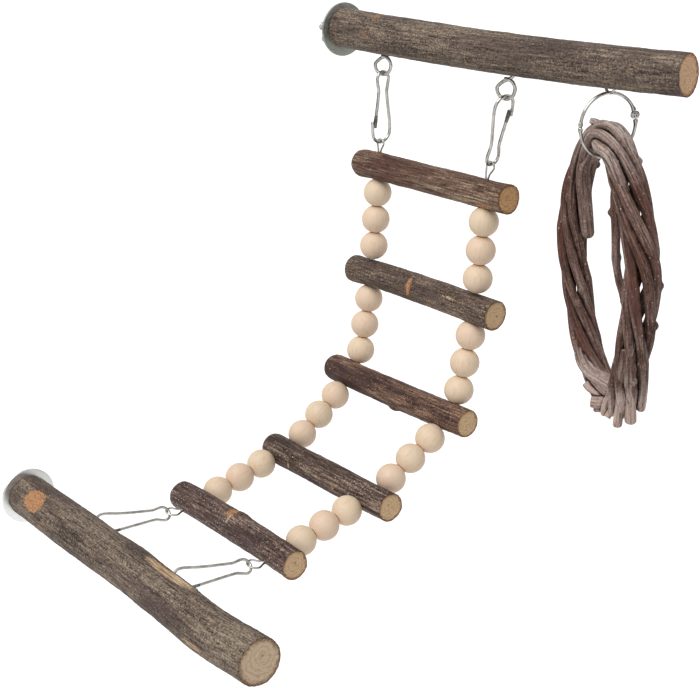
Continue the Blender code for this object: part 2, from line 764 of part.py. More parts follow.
def wreath_axis(t):
    """The middle of the vine bundle, round a leaning pointed oval: t = 90 degrees is the top."""
    rise = math.sin(t)
    width = WREATH_HALF_WIDTH * (1 - WREATH_POINT * ((1 - rise) / 2) ** 2)
    across = WREATH_ACROSS * (width * math.cos(t) + WREATH_SHIFT)
    upward = Vector((0, 0, WREATH_HALF_HEIGHT * rise))
    aside = WREATH_SWAY * rise**2 - WREATH_LEAN * rise
    wander = 1.6 * MM * math.sin(3 * t + 0.6) * math.cos(t)
    return WREATH_CENTRE + across + upward + WREATH_NORMAL * (aside + wander)


def swell(t):
    """The bundle is thicker on its outer side, away from the wall."""
    return 1 + BUNDLE_SWELL * math.cos(t)


def vine_point(t, turned, radius):
    """A point beside the bundle's middle, at an angle turned round it from straight inward."""
    small = 1e-3
    along = (wreath_axis(t + small) - wreath_axis(t - small)).normalized()
    inward = along.cross(WREATH_NORMAL).normalized()
    beside = inward.cross(along)
    return wreath_axis(t) + (inward * math.cos(turned) + beside * math.sin(turned)) * radius


def least_gap(points, radii, neighbours):
    """The least clear distance between stretches of one tube that are not next to each other."""
    least = 1.0
    for i in range(len(points)):
        for j in range(i + neighbours, len(points)):
            least = min(least, (points[i] - points[j]).length - radii[i] - radii[j])
    return least


def make_wreath():
    step = 2 * math.pi / STEPS_A_TURN
    pivot("wreath", RING_FOOT, "ring_knuckle")
    bottom = -STEPS_A_TURN // 4
    starts = [bottom - 1 + 2 * v for v in range(VINES)]
    for v, first in enumerate(starts):
        lane = 2 * math.pi * v * 2 / LANES
        last = starts[(v + 1) % VINES] + 2 * STEPS_A_TURN - 3
        points = []
        widths = []
        for k in range(first, last + 1):
            t = step * k
            wound = TWIST_A_TURN * (t + EVEN_TWIST * math.sin(2 * t))
            points.append(vine_point(t, lane + wound, LANE_RADIUS * swell(t)))
            widths.append(swell(t) * (1 - END_THINNING * math.sin(t) ** 4))
        name = f"vine_{v + 1}"
        gap = least_gap(points, [VINE_RADIUS * width for width in widths], 6)
        print(f"{name}: least gap to itself {gap / MM:.2f} mm")
        data = tube_data(name, [p - RING_FOOT for p in points], VINE_RADIUS, 1, widths)
        place_object(name, data, VINE_BARK, RING_FOOT, on="wreath")
    high, low = (math.radians(degrees) for degrees in INNER_VINE_RUN)
    inner = []
    for k in range(13):
        t = high + (low - high) * k / 12
        off = BUNDLE_RADIUS * swell(t) + INNER_VINE_RADIUS + 0.5 * MM
        inner.append(vine_point(t, 0, off + 3.0 * MM * math.sin(math.pi * k / 12)))
    data = tube_data("vine_inner", [p - RING_FOOT for p in inner], INNER_VINE_RADIUS)
    place_object("vine_inner", data, VINE_BARK, RING_FOOT, on="wreath")


def report_places():
    """Prints the joints' places, for the record."""
    for name, (_, place) in PIVOTS.items():
        if name:
            print(f"pivot {name}: {[round(c, 6) for c in place]}")


upper_perch, lower_perch = make_perches()
make_wall_fixing("upper", Vector())
make_wall_fixing("lower", LOWER_AXIS)
make_eyes(upper_perch, lower_perch)
make_hooks()
make_rungs()
make_beads()
make_wires()
make_ring()
make_wreath()
report_places()
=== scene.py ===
"""The looks of the wooden bird ladder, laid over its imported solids.
Metres, in the frame of the solids: the cage wall is the plane X = 0, +Z is up, and the ladder
goes towards -Y. Each branch, vine and wire follows the middle line of its own solid.
"""
import json
from collections import namedtuple
from math import asin, atan2, cos, degrees, pi, radians, sin
import bmesh
import bpy
import numpy as np
from mathutils import Euler, Matrix, Vector, noise


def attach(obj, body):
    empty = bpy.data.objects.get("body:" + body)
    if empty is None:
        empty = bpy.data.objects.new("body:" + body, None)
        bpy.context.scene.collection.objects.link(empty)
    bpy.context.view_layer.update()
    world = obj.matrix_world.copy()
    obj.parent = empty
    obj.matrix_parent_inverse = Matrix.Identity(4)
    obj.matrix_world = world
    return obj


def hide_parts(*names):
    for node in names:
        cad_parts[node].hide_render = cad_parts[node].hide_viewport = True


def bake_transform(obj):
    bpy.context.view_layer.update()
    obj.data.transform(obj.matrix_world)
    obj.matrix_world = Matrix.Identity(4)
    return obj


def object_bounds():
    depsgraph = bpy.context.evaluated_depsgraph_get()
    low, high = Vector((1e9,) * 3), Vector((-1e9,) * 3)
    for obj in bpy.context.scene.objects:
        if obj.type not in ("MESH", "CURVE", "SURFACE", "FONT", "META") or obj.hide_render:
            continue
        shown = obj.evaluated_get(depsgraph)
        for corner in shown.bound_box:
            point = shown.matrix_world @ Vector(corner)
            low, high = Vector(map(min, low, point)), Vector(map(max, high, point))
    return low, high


MM = 0.001
# The photograph's camera
IMAGE_WIDTH = 700
FOCAL_PIXELS = 1500
CAMERA_PLACE = Vector((690.68, -520.50, 95.22)) * MM
CAMERA_AZIMUTH = radians(52.734)
CAMERA_PITCH = radians(18.139)
CAMERA_TURN = Euler((pi / 2 - CAMERA_PITCH, 0, CAMERA_AZIMUTH))
CAMERA_RIGHT, _, CAMERA_BACK = map(Vector, CAMERA_TURN.to_matrix().transposed())
# Light
WORLD_LIGHT = 0.45
KEY_LIGHT = 1.95
KEY_SPREAD = radians(42)
KEY_RIGHT, KEY_UP, KEY_BACK = -0.5, 0.85, 0.55
FLOOR_DROP = 200 * MM
FLOOR_SIZE = 30.0
FLOOR_GLOW = 0.42
# Metres from the object: how far aside and back a flag stands, its half length, and its edges' heights
FLAG_ASIDE, FLAG_BACK, FLAG_HALF, FLAG_LOW, FLAG_HIGH = 2.2, 0.5, 1.2, -1.5, 0.2
FLAG_TURN = 0.2
WHITE = (1, 1, 1, 1)
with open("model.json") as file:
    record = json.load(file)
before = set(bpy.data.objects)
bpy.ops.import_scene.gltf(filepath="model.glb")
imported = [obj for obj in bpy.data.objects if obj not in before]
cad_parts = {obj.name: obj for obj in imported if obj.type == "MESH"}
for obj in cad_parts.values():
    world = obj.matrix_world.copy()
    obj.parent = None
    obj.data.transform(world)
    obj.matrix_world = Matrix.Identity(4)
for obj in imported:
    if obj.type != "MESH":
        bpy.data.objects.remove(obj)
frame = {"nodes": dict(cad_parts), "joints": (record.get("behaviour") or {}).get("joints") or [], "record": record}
CAD_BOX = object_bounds()
JOINTS = {joint["name"]: joint for joint in frame["joints"]}
BODY_OF = {node: body for body, nodes in frame["record"]["behaviour"]["bodies"].items() for node in nodes}


def place_of(joint):
    return Vector(JOINTS[joint]["pos_m"])


def axis_of(joint):
    return Vector(JOINTS[joint]["axis"]).normalized()


def rgb(red, green, blue):
    """A screen colour, 0 to 255, as the linear colour that shaders take."""

    def linear(value):
        share = value / 255
        return share / 12.92 if share <= 0.04045 else ((share + 0.055) / 1.055) ** 2.4

    return (linear(red), linear(green), linear(blue), 1)


class Nodes:
    """A node tree, built a node at a time."""

    def __init__(self, tree):
        self.tree = tree

    def add(self, kind, inputs, **settings):
        node = self.tree.nodes.new("ShaderNode" + kind)
        for key, value in settings.items():
            setattr(node, key, value)
        for key, value in inputs.items():
            self.feed(node.inputs[key], value)
        return node

    def feed(self, socket, value):
        if isinstance(value, bpy.types.NodeSocket):
            self.tree.links.new(value, socket)
        else:
            socket.default_value = value

    def sum(self, kind, first, second):
        return self.add("Math", {0: first, 1: second}, operation=kind).outputs["Value"]

    def shown(self):
        """1 to the camera, and where metal or glass shows the scene."""
        path = self.add("LightPath", {}).outputs
        seen = self.sum("MAXIMUM", path["Is Camera Ray"], path["Is Glossy Ray"])
        return self.sum("MAXIMUM", seen, path["Is Transmission Ray"])


class Paint(Nodes):
    """A Principled material. Its textures are measured in millimetres of grain."""

    def __init__(self, name, specular, metallic=0.0):
        self.material = bpy.data.materials.new(name)
        self.material.use_nodes = True
        super().__init__(self.material.node_tree)
        self.inputs = self.tree.nodes["Principled BSDF"].inputs
        self.inputs["Metallic"].default_value = metallic
        self.inputs["Specular IOR Level"].default_value = specular

    def value(self, name):
        """A number that the mesh carries."""
        return self.add("Attribute", {}, attribute_name=name).outputs["Fac"]

    def grain(self, stretch, shift=(0, 0, 0)):
        """The straightened place on a piece, with a stretch in cycles a millimetre."""
        place = self.add("Attribute", {}, attribute_name="grain").outputs["Vector"]
        return self.add("Mapping", {"Vector": place, "Scale": stretch, "Location": shift}).outputs["Vector"]

    def noise(self, stretch, detail, rough, shift=(0, 0, 0)):
        inputs = {"Vector": self.grain(stretch, shift), "Scale": 1, "Detail": detail, "Roughness": rough}
        return self.add("TexNoise", inputs).outputs["Fac"]

    def band(self, value, low, high, start=0.0, stop=1.0):
        """Eases from start to stop while a value goes from low to high."""
        inputs = {"Value": value, "From Min": low, "From Max": high, "To Min": start, "To Max": stop}
        return self.add("MapRange", inputs, interpolation_type="SMOOTHSTEP").outputs["Result"]

    def times(self, first, second):
        return self.sum("MULTIPLY", first, second)

    def weigh(self, *pairs):
        """The sum of some values, each times its weight."""
        total = 0.0
        for value, weight in pairs:
            node = self.add("Math", {0: value, 1: weight, 2: total}, operation="MULTIPLY_ADD")
            total = node.outputs["Value"]
        return total

    def mix(self, under, over, share):
        return self.add("Mix", {0: share, 6: under, 7: over}, data_type="RGBA").outputs[2]

    def over(self, under, colour, value, low, high, strength=1.0):
        """Lays a colour over another while a value goes from low to high."""
        return self.mix(under, colour, self.band(value, low, high, 0.0, strength))

    def spots(self, stretch, size, share):
        """Scattered spots of uneven size: a share of the cells of a Voronoi pattern hold one."""
        cells = self.add("TexVoronoi", {"Vector": self.grain(stretch), "Scale": 1})
        chance = self.add("SeparateColor", {"Color": cells.outputs["Color"]})
        chosen = self.band(chance.outputs["Red"], 1 - share, 1.04 - share)
        reach = self.weigh((cells.outputs["Distance"], 1.0), (chance.outputs["Green"], 0.6 * size))
        return self.times(chosen, self.band(reach, 1.25 * size, 0.7 * size))

    def edged(self, name, grit):
        """A mark that the mesh carries, with a ragged edge."""
        return self.band(self.weigh((self.value(name), 1.0), (grit, 1.0)), 0.8, 1.12)

    def finish(self, colour, roughness, height=None, depth=0.0, strength=1.0):
        """Sets the colour, the roughness and a bump of some depth, and gives the material."""
        self.feed(self.inputs["Base Color"], colour)
        self.feed(self.inputs["Roughness"], roughness)
        if height is not None:
            bump = self.add("Bump", {"Height": height, "Distance": depth, "Strength": strength})
            self.feed(self.inputs["Normal"], bump.outputs["Normal"])
        return self.material


# Colours of bark are screen colours. Pale is for vines alone
Bark = namedtuple("Bark", "dark middle light patch fleck pale patches flecks fleck_stretch streak grit")
CRACK = (0.02, 0.015, 0.013, 1)
# Colour of the painted shade where vine strands lie against each other
GAP_SHADE = (0.008, 0.005, 0.004, 1)


def bark(name, look):
    """Bark: streaks, grit, dark patches, rows of pale flecks, and scars where the bark is gone."""
    paint = Paint(name, 0.2)
    dark, middle, light, patch, fleck = (rgb(*colour) for colour in look[:5])
    streaks = paint.noise((0.05, look.streak, look.streak), 5, 0.65)
    grit = paint.noise((0.9, 1.05, 1.05), 5, 0.7, (7, 3, 5))
    wide = paint.noise((0.022, 0.1, 0.1), 3, 0.5, (2, 9, 4))
    tone = paint.weigh((streaks, 0.84 - look.grit), (grit, look.grit), (wide, 0.16))
    colour = paint.over(dark, middle, tone, 0.42, 0.5)
    colour = paint.over(colour, light, tone, 0.5, 0.6)
    patches = paint.noise((0.016, 0.07, 0.07), 3, 0.55, (5, 1, 8))
    colour = paint.over(colour, patch, patches, 0.46, 0.6, look.patches)
    if look.pale:
        # On vines the mesh's tone makes the bark paler, and near the wreath's top that paleness is painted light
        # from above
        paleness_and_top_light = paint.value("tone")
        dry = paint.over(light, rgb(*look.pale), tone, 0.44, 0.57)
        colour = paint.mix(colour, dry, paleness_and_top_light)
        bleached = paint.times(paint.band(paleness_and_top_light, 1.0, 1.7), paint.band(tone, 0.42, 0.56, 0.15, 0.95))
        colour = paint.mix(colour, rgb(204, 178, 165), bleached)
    crowd = paint.band(paint.noise((0.03, 0.16, 0.16), 3, 0.5, (1, 6, 2)), 0.38, 0.56)
    flecks = paint.times(paint.spots(look.fleck_stretch, 0.33, look.flecks), crowd)
    colour = paint.mix(colour, fleck, paint.times(flecks, 0.85))
    cracks = paint.band(paint.noise((0.14, 1.7, 1.7), 4, 0.6, (4, 4, 1)), 0.43, 0.33)
    colour = paint.mix(colour, CRACK, paint.times(cracks, 0.7))
    if look.pale:
        # Painted shade on vines where strands lie close together, as the mesh carries it
        colour = paint.over(colour, GAP_SHADE, paint.value("painted_shade"), 0.0, 1.0, 0.94)
    scarred = paint.over(rgb(138, 96, 68), rgb(198, 148, 106), grit, 0.34, 0.6)
    colour = paint.mix(colour, scarred, paint.edged("scar", grit))
    stripped = paint.over(rgb(150, 108, 74), rgb(224, 196, 160), streaks, 0.38, 0.56)
    colour = paint.mix(colour, stripped, paint.edged("bare", grit))
    height = paint.weigh((tone, 1.0), (flecks, 0.12), (cracks, -0.25))
    height = paint.times(height, paint.band(paint.value("scar"), 0.3, 0.9, 1.0, 0.4))
    return paint.finish(colour, paint.band(grit, 0.3, 0.7, 0.55, 0.8), height, 1.6 * MM, 0.9)


def end_grain(name, palette, pith_place, ring_pitch):
    """A sawn end: growth rings about an off-centre pith, rough saw marks, and a darker rim by the bark."""
    paint = Paint(name, 0.2)
    pale, dark, rim, pith = (rgb(*colour) for colour in palette)
    across = paint.grain((0, 1, 1), (0,) + pith_place)
    reach = paint.add("VectorMath", {0: across}, operation="LENGTH").outputs["Value"]
    reach = paint.weigh((reach, 1.0), (paint.noise((0, 0.3, 0.3), 4, 0.6), 4.0))
    rings = paint.sum("DIVIDE", paint.sum("PINGPONG", reach, ring_pitch), ring_pitch)
    saw = paint.noise((0, 0.3, 2.6), 4, 0.7)
    mottle = paint.noise((0, 0.6, 0.6), 5, 0.7)
    colour = paint.over(pale, dark, rings, 0.4, 1.0, 0.36)
    colour = paint.over(colour, dark, saw, 0.48, 0.64, 0.6)
    colour = paint.over(colour, pale, mottle, 0.5, 0.62, 0.8)
    colour = paint.over(pith, colour, reach, 2.0, 3.1)
    edge = paint.weigh((paint.value("rim"), 1.0), (mottle, 0.6))
    colour = paint.over(colour, rim, edge, 1.05, 1.26, 0.9)
    height = paint.weigh((saw, 0.7), (rings, 0.25), (mottle, 0.4))
    return paint.finish(colour, paint.band(mottle, 0.3, 0.7, 0.68, 0.85), height, 0.6 * MM, 0.8)


def bead_wood():
    """Smooth pale turned wood, some beads pinker, with faint long grain."""
    paint = Paint("bead_wood", 0.35)
    lines = paint.noise((0.07, 0.85, 0.85), 4, 0.6)
    fine = paint.noise((0.5, 4.5, 4.5), 2, 0.5)
    flecks = paint.spots((0.16, 0.9, 0.9), 0.26, 0.1)
    colour = paint.mix(rgb(230, 208, 180), rgb(231, 204, 179), paint.value("tint"))
    colour = paint.over(colour, rgb(206, 170, 132), lines, 0.5, 0.75, 0.42)
    colour = paint.over(colour, rgb(198, 162, 124), fine, 0.55, 0.8, 0.3)
    colour = paint.mix(colour, rgb(180, 138, 102), paint.times(flecks, 0.35))
    height = paint.weigh((lines, 1.0), (fine, 0.5))
    return paint.finish(colour, paint.band(lines, 0.3, 0.7, 0.42, 0.58), height, 0.12 * MM, 0.6)


def metal(name, dull, bright, smooth, rough, lines):
    """Plated metal, a little cloudy, with drawn or turned lines."""
    paint = Paint(name, 0.5, metallic=1.0)
    dull, bright = rgb(*dull), rgb(*bright)
    cloud = paint.noise((0.25, 0.6, 0.6), 4, 0.6)
    drawn = paint.noise(lines, 3, 0.6)
    colour = paint.over(dull, bright, cloud, 0.32, 0.66)
    colour = paint.over(colour, dull, drawn, 0.5, 0.75, 0.3)
    return paint.finish(colour, paint.band(cloud, 0.3, 0.7, smooth, rough), drawn, 0.03 * MM, 0.25)


PERCH_LOOK = Bark(
    dark=(44, 35, 32), middle=(118, 102, 89), light=(178, 160, 139), patch=(78, 63, 61),
    fleck=(206, 188, 160), pale=None, patches=0.6, flecks=0.44, fleck_stretch=(0.85, 1.1, 1.1),
    streak=1.0, grit=0.5,
)
DOTTED = PERCH_LOOK._replace(flecks=0.52, fleck_stretch=(0.85, 0.9, 0.9))
RUNG_LOOKS = (
    PERCH_LOOK._replace(
        dark=(56, 36, 30), middle=(119, 92, 78), light=(190, 168, 142), patch=(90, 58, 48),
        flecks=0.2, grit=0.3,
    ),
    PERCH_LOOK._replace(dark=(46, 35, 31), middle=(104, 86, 75), light=(166, 146, 126), flecks=0.42),
    PERCH_LOOK._replace(
        dark=(42, 27, 22), middle=(110, 82, 71), light=(188, 152, 124), patch=(62, 44, 43),
        fleck=(206, 164, 124), patches=0.8, flecks=0.36, fleck_stretch=(1.05, 0.8, 0.8), grit=0.4,
    ),
    DOTTED._replace(
        dark=(30, 20, 18), middle=(94, 74, 65), light=(172, 150, 132), patch=(58, 42, 39),
        fleck=(228, 216, 200), grit=0.32,
    ),
    DOTTED._replace(
        dark=(36, 24, 22), middle=(104, 81, 74), light=(182, 160, 146), patch=(60, 42, 42),
        fleck=(228, 212, 196), grit=0.42,
    ),
)
VINE_LOOK = Bark(
    dark=(58, 38, 33), middle=(108, 81, 71), light=(154, 130, 120), patch=(94, 55, 45),
    fleck=(206, 184, 164), pale=(210, 194, 185), patches=0.6, flecks=0.16, fleck_stretch=(0.6, 0.7, 0.7),
    streak=0.9, grit=0.34,
)
PERCH_BARK = bark("perch_bark_dressed", PERCH_LOOK)
RUNG_BARKS = [bark(f"rung_{k + 1}_bark_dressed", look) for k, look in enumerate(RUNG_LOOKS)]
VINE_BARK = bark("vine_bark_dressed", VINE_LOOK)
# Palettes of sawn ends: pale wood, dark wood, rim and pith
PERCH_WOOD = (220, 184, 147), (166, 126, 92), (146, 88, 54), (200, 160, 124)
LOWER_PERCH_WOOD = (216, 191, 162), (154, 124, 98), (126, 94, 70), (164, 104, 76)
TOP_RUNG_WOOD = (214, 170, 122), (140, 96, 60), (120, 78, 46), (160, 116, 76)
RUNG_WOOD = (222, 190, 150), (158, 118, 82), (132, 92, 58), (178, 138, 98)
VINE_WOOD = (186, 158, 134), (120, 90, 74), (84, 58, 48), (70, 48, 40)
PERCH_END = end_grain("perch_end", PERCH_WOOD, (2.0, 3.0), 1.0)
LOWER_PERCH_END = end_grain("lower_perch_end", LOWER_PERCH_WOOD, (-1.6, -2.4), 1.2)
RUNG_PITHS = ((-1.0, 0.6), (0.4, 0.9), (1.4, -1.0), (-0.5, -1.2))
RUNG_ENDS = [end_grain("rung_1_end", TOP_RUNG_WOOD, (0.8, -0.7), 1.2)]
RUNG_ENDS += [end_grain(f"rung_{k + 2}_end", RUNG_WOOD, pith, 0.9) for k, pith in enumerate(RUNG_PITHS)]
VINE_CUT = end_grain("vine_cut", VINE_WOOD, (0.2, 0.1), 0.6)
BEAD_WOOD = bead_wood()
NICKEL = metal("nickel_dressed", (152, 149, 144), (196, 193, 188), 0.2, 0.27, (0.2, 6, 6))
DARK_NICKEL = metal("gate_tip_dressed", (72, 70, 67), (128, 125, 121), 0.28, 0.4, (0.2, 6, 6))
BRIGHT_ZINC = metal("bright_zinc", (216, 218, 215), (228, 229, 227), 0.3, 0.36, (1.2, 1.2, 1.2))
ZINC = metal("zinc_dressed", (144, 147, 141), (160, 163, 156), 0.42, 0.5, (1.2, 1.2, 1.2))
STEEL = metal("steel_dressed", (142, 140, 136), (196, 194, 190), 0.22, 0.38, (0.6, 4, 4))


def smooth_row(values, count):
    """Values read evenly along a row by a curve that passes through each of its members."""
    values = np.asarray(values, float)
    rest = len(values) - 1
    at = np.linspace(0, rest, count)
    i = np.minimum(at.astype(int), rest - 1)
    t = (at - i).reshape((-1,) + (1,) * (values.ndim - 1))
    before, after = values[np.maximum(i - 1, 0)], values[np.minimum(i + 2, rest)]
    first, second = values[i], values[i + 1]
    bend = 2 * before - 5 * first + 4 * second - after
    swing = 3 * (first - second) + after - before
    return first + 0.5 * t * (second - before + t * (bend + t * swing))


def field(points, stretch):
    """Smooth noise from -1 to 1 at places in millimetres, with a stretch in cycles a millimetre."""
    scaled = points * np.asarray(stretch)
    return np.array([noise.noise(Vector(p)) for p in scaled])


def drift(along, lane, pitch, level=0.0):
    """Smooth noise along a line, from -1 to 1, that differs for each lane and level."""
    zero = 0 * along
    return field(np.column_stack((along, zero + lane, zero + level)), (pitch, 1, 1))


def roughened(radii, places, depths):
    """Radii with smooth noise added, for each depth in millimetres and its stretch."""
    for depth, stretch in depths:
        radii = radii + depth * MM * field(places, stretch).reshape(radii.shape)
    return radii


def unit(rows):
    return rows / np.linalg.norm(rows, axis=-1, keepdims=True)


def spokes(angles, x, y):
    """Directions at some angles from x towards y."""
    return np.outer(np.cos(angles), x) + np.outer(np.sin(angles), y)


def ramp(values, low, high):
    """From 0 to 1 while values go from low to high."""
    return np.clip((values - low) / (high - low), 0, 1)


def bell(offset, width):
    """1 at no offset, and near 0 from twice the width away."""
    return np.exp(-((offset / width) ** 2))


def lengths(line):
    """How far along a line each of its points is, in millimetres."""
    steps = np.linalg.norm(np.diff(line, axis=0), axis=1)
    return np.concatenate(([0], np.cumsum(steps))) / MM


def carried_frames(line, across):
    """Two directions beside each point of a line, carried along it without twist."""
    tangents = unit(np.gradient(line, axis=0))
    sides = np.empty_like(line)
    side = np.asarray(across, float)
    for i, tangent in enumerate(tangents):
        side = sides[i] = unit(side - tangent * (side @ tangent))
    return tangents, sides, np.cross(tangents, sides)


def loft(rows, steps, closed=False):
    """Faces between neighbouring rows of corners. Closed joins the last row to the first as well."""
    faces = []
    for i in range(rows if closed else rows - 1):
        upper, lower = i * steps, (i + 1) % rows * steps
        for k in range(steps):
            n = (k + 1) % steps
            faces.append((upper + k, upper + n, lower + n, lower + k))
    return faces


def fans(rows, steps):
    """Faces from the first and the last row of corners to the two middles that follow all rows."""
    last, faces = (rows - 1) * steps, []
    for k in range(steps):
        n = (k + 1) % steps
        faces += [(last + steps, n, k), (last + steps + 1, last + k, last + n)]
    return faces


def capped(rows):
    """Rows of places, and then the middles of the first and the last row."""
    return np.concatenate((*rows, [rows[0].mean(0), rows[-1].mean(0)]))


# A closed shape: surfaces holds a material's number for each face, marks holds numbers for each vertex
Shape = namedtuple("Shape", "vertices faces surfaces marks")
SEED_STEP = 1000


class Sweep:
    """A body swept along a line of points, with a row of radii a point, closed at both ends.

    Grain is the place of each vertex on the straightened body, in millimetres, moved by a seed.
    """

    def __init__(self, line, sides, across=(0, 1, 0), seed=0):
        self.line = np.asarray(line, float)
        self.sides = sides
        self.start = SEED_STEP * seed
        self.tangents, self.across, self.beside = carried_frames(self.line, across)
        self.along = lengths(self.line)
        self.angles = np.arange(sides) * 2 * pi / sides
        self.marks = {}
        self.push = np.zeros((len(self.line), sides))
        self.surface = np.zeros(len(self.line), int)

    def grain(self, i, radii, reach=0.0):
        """Grain of the vertices round point i, moved along by a reach."""
        flat = spokes(self.angles, (0, 1, 0), (0, 0, 1)) * radii[:, None] / MM
        return flat + (self.along[i] + reach / MM + self.start, 0, 0)

    def places(self, radii):
        """Grain of the vertices along the whole line."""
        return np.concatenate([self.grain(i, row) for i, row in enumerate(radii)])

    def ring(self, i, radii, reach):
        """The vertices round point i, each moved along by its reach."""
        out = spokes(self.angles, self.across[i], self.beside[i]) * radii[:, None]
        return self.line[i] + np.outer(reach, self.tangents[i]) + out

    def skin(self, radii):
        """The vertices along the whole line."""
        return np.array([self.ring(i, row, 0 * row) for i, row in enumerate(radii)])

    def shape(self, radii, ends):
        """ends is the rows that close an end, outermost first: share of radius, reach, and surface."""
        rows = [(0, share, -reach, surface) for share, reach, surface in reversed(ends)]
        rows += [(i, 1.0, 0.0, surface) for i, surface in enumerate(self.surface)]
        rows += [(-1, share, reach, surface) for share, reach, surface in ends]
        vertices, grain = [], []
        for i, share, reach, _ in rows:
            vertices.append(self.ring(i, radii[i] * share, reach + share * self.push[i]))
            grain.append(self.grain(i, radii[i] * share, reach))
        at, shares, _, surfaces = map(list, zip(*rows))
        marks = {key: values[at] for key, values in self.marks.items()}
        marks["rim"] = np.repeat(shares, self.sides)
        marks = {key: np.append(values, (0, 0)) for key, values in marks.items()}
        marks["grain"] = capped(grain)
        between = np.repeat(np.maximum(surfaces[:-1], surfaces[1:]), self.sides)
        indices = [*between, *[surfaces[0], surfaces[-1]] * self.sides]
        faces = loft(len(rows), self.sides) + fans(len(rows), self.sides)
        return Shape(capped(vertices), faces, indices, marks)


def plain(vertices, faces, grain, seed=0):
    """A closed shape of one material."""
    return Shape(vertices, faces, [0] * len(faces), {"grain": grain + (SEED_STEP * seed, 0, 0)})


def build(name, shapes):
    """One mesh of some closed shapes, with the marks that the last of them carries."""
    mesh = bpy.data.meshes.new(name)
    faces, start = [], 0
    for shape in shapes:
        faces += [tuple(start + corner for corner in face) for face in shape.faces]
        start += len(shape.vertices)
    mesh.from_pydata(np.concatenate([shape.vertices for shape in shapes]).tolist(), [], faces)
    mesh.polygons.foreach_set("material_index", [index for shape in shapes for index in shape.surfaces])
    for key in shapes[-1].marks:
        values = np.concatenate([shape.marks[key] for shape in shapes]).astype(np.float32)
        kind, part = ("FLOAT_VECTOR", "vector") if values.ndim == 2 else ("FLOAT", "value")
        mesh.attributes.new(key, kind, "POINT").data.foreach_set(part, values.ravel())
    work = bmesh.new()
    work.from_mesh(mesh)
    bmesh.ops.recalc_face_normals(work, faces=work.faces)
    work.to_mesh(mesh)
    work.free()
    return mesh


def link(name, data):
    """Puts data in the scene as an object."""
    thing = bpy.data.objects.new(name, data)
    bpy.context.scene.collection.objects.link(thing)
    return thing


def show(node, shapes, materials, crease=40, rides=True):
    """Puts closed shapes in the scene in place of a solid, on that solid's body unless rides is false."""
    mesh = build(node + "_dressed", shapes)
    for material in materials:
        mesh.materials.append(material)
    mesh.polygons.foreach_set("use_smooth", [True] * len(mesh.polygons))
    mesh.set_sharp_from_angle(angle=radians(crease))
    mesh.validate()
    piece = link(mesh.name, mesh)
    if rides:
        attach(piece, BODY_OF[node])
    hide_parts(node)
    return piece


def solid_points(node):
    """The separate corners of a solid."""
    corners = np.array([v.co for v in frame["nodes"][node].data.vertices])
    return np.unique(np.round(corners, 7), axis=0)


def waves(angles):
    """Waves round a stick, of which its radius is the sum."""
    return np.array([np.ones_like(angles)] + [f(n * angles) for n in (1, 2, 3) for f in (np.cos, np.sin)])


def sections(node):
    """Cross-sections of a stick along X, from its solid: each is X, Y, Z and the waves of its radius."""
    points = solid_points(node)
    width = 0.35 * np.ptp(points[:, 2])
    rows = []
    for x in np.unique(np.round(points[:, 0], 5)):
        ring = points[np.abs(points[:, 0] - x) < 1e-5]
        middle = (ring.min(0) + ring.max(0)) / 2
        offset = ring - middle
        reach = np.hypot(offset[:, 1], offset[:, 2])
        outer = reach > width
        if outer.sum() < 10:
            continue
        angle = np.arctan2(offset[outer, 2], offset[outer, 1])
        fit = np.linalg.lstsq(waves(angle).T, reach[outer], rcond=None)[0]
        rows.append(np.concatenate((middle, fit)))
    return np.array(rows)


# Along is in millimetres from a stick's wall end, around in degrees from +Y towards +Z
Mark = namedtuple("Mark", "along around length width lift scar bare", defaults=(0.0, 0.0))


def mark_shares(sweep, radius, mark):
    """How strongly a mark shows at each vertex of a stick: 1 in its middle."""
    along = (sweep.along[:, None] - mark.along) / mark.length
    turn = np.degrees(sweep.angles)[None] - mark.around
    turn = np.radians((turn + 180) % 360 - 180)
    across = turn * (radius / MM) / mark.width
    return np.exp(-((along**2 + across**2) ** 1.5))


# Rows that close a stick: share of its radius, reach, and surface (1 is the sawn end)
WOOD_END = (
    (0.985, 0.1 * MM, 0),
    (0.95, 0.14 * MM, 0),
    (0.925, 0.08 * MM, 1),
    (0.75, 0.1 * MM, 1),
    (0.5, 0.1 * MM, 1),
    (0.25, 0.1 * MM, 1),
)
Stick = namedtuple("Stick", "node bark end slot marks lumps ridges swell raise_ slant worn step sides")


def make_stick(stick, seed):
    """A natural stick of wood over its solid: lumps, ridges in the bark, and given marks."""
    rows = sections(stick.node)
    rows = smooth_row(rows, int((rows[-1, 0] - rows[0, 0]) / MM / stick.step))
    rows[:, 2] += stick.raise_ * MM
    sweep = Sweep(rows[:, :3], stick.sides, seed=seed)
    radii = rows[:, 3:] @ waves(sweep.angles) * stick.swell
    depths = (
        (stick.lumps, (0.04, 0.11, 0.11)),
        (0.5 * stick.lumps, (0.11, 0.2, 0.2)),
        (stick.ridges, (0.04, 0.62, 0.62)),
        (0.8 * stick.ridges, (0.35, 0.8, 0.8)),
    )
    radii = roughened(radii, sweep.places(radii), depths)
    scar, bare = np.zeros(radii.shape), np.zeros(radii.shape)
    for mark in stick.marks:
        share = mark_shares(sweep, radii.mean(), mark)
        radii = radii + mark.lift * MM * share
        scar = np.maximum(scar, mark.scar * share)
        bare = np.maximum(bare, mark.bare * share)
    radii = radii * (1 - stick.worn * bell(sweep.along, 1.6))[:, None]
    near_end = bell(sweep.along - sweep.along[-1], 9)[:, None]
    sweep.push = near_end * stick.slant * MM * (1 - np.cos(sweep.angles))
    sweep.marks = {"scar": scar, "bare": bare}
    show(stick.node, [sweep.shape(radii, WOOD_END)], (stick.bark, stick.end))


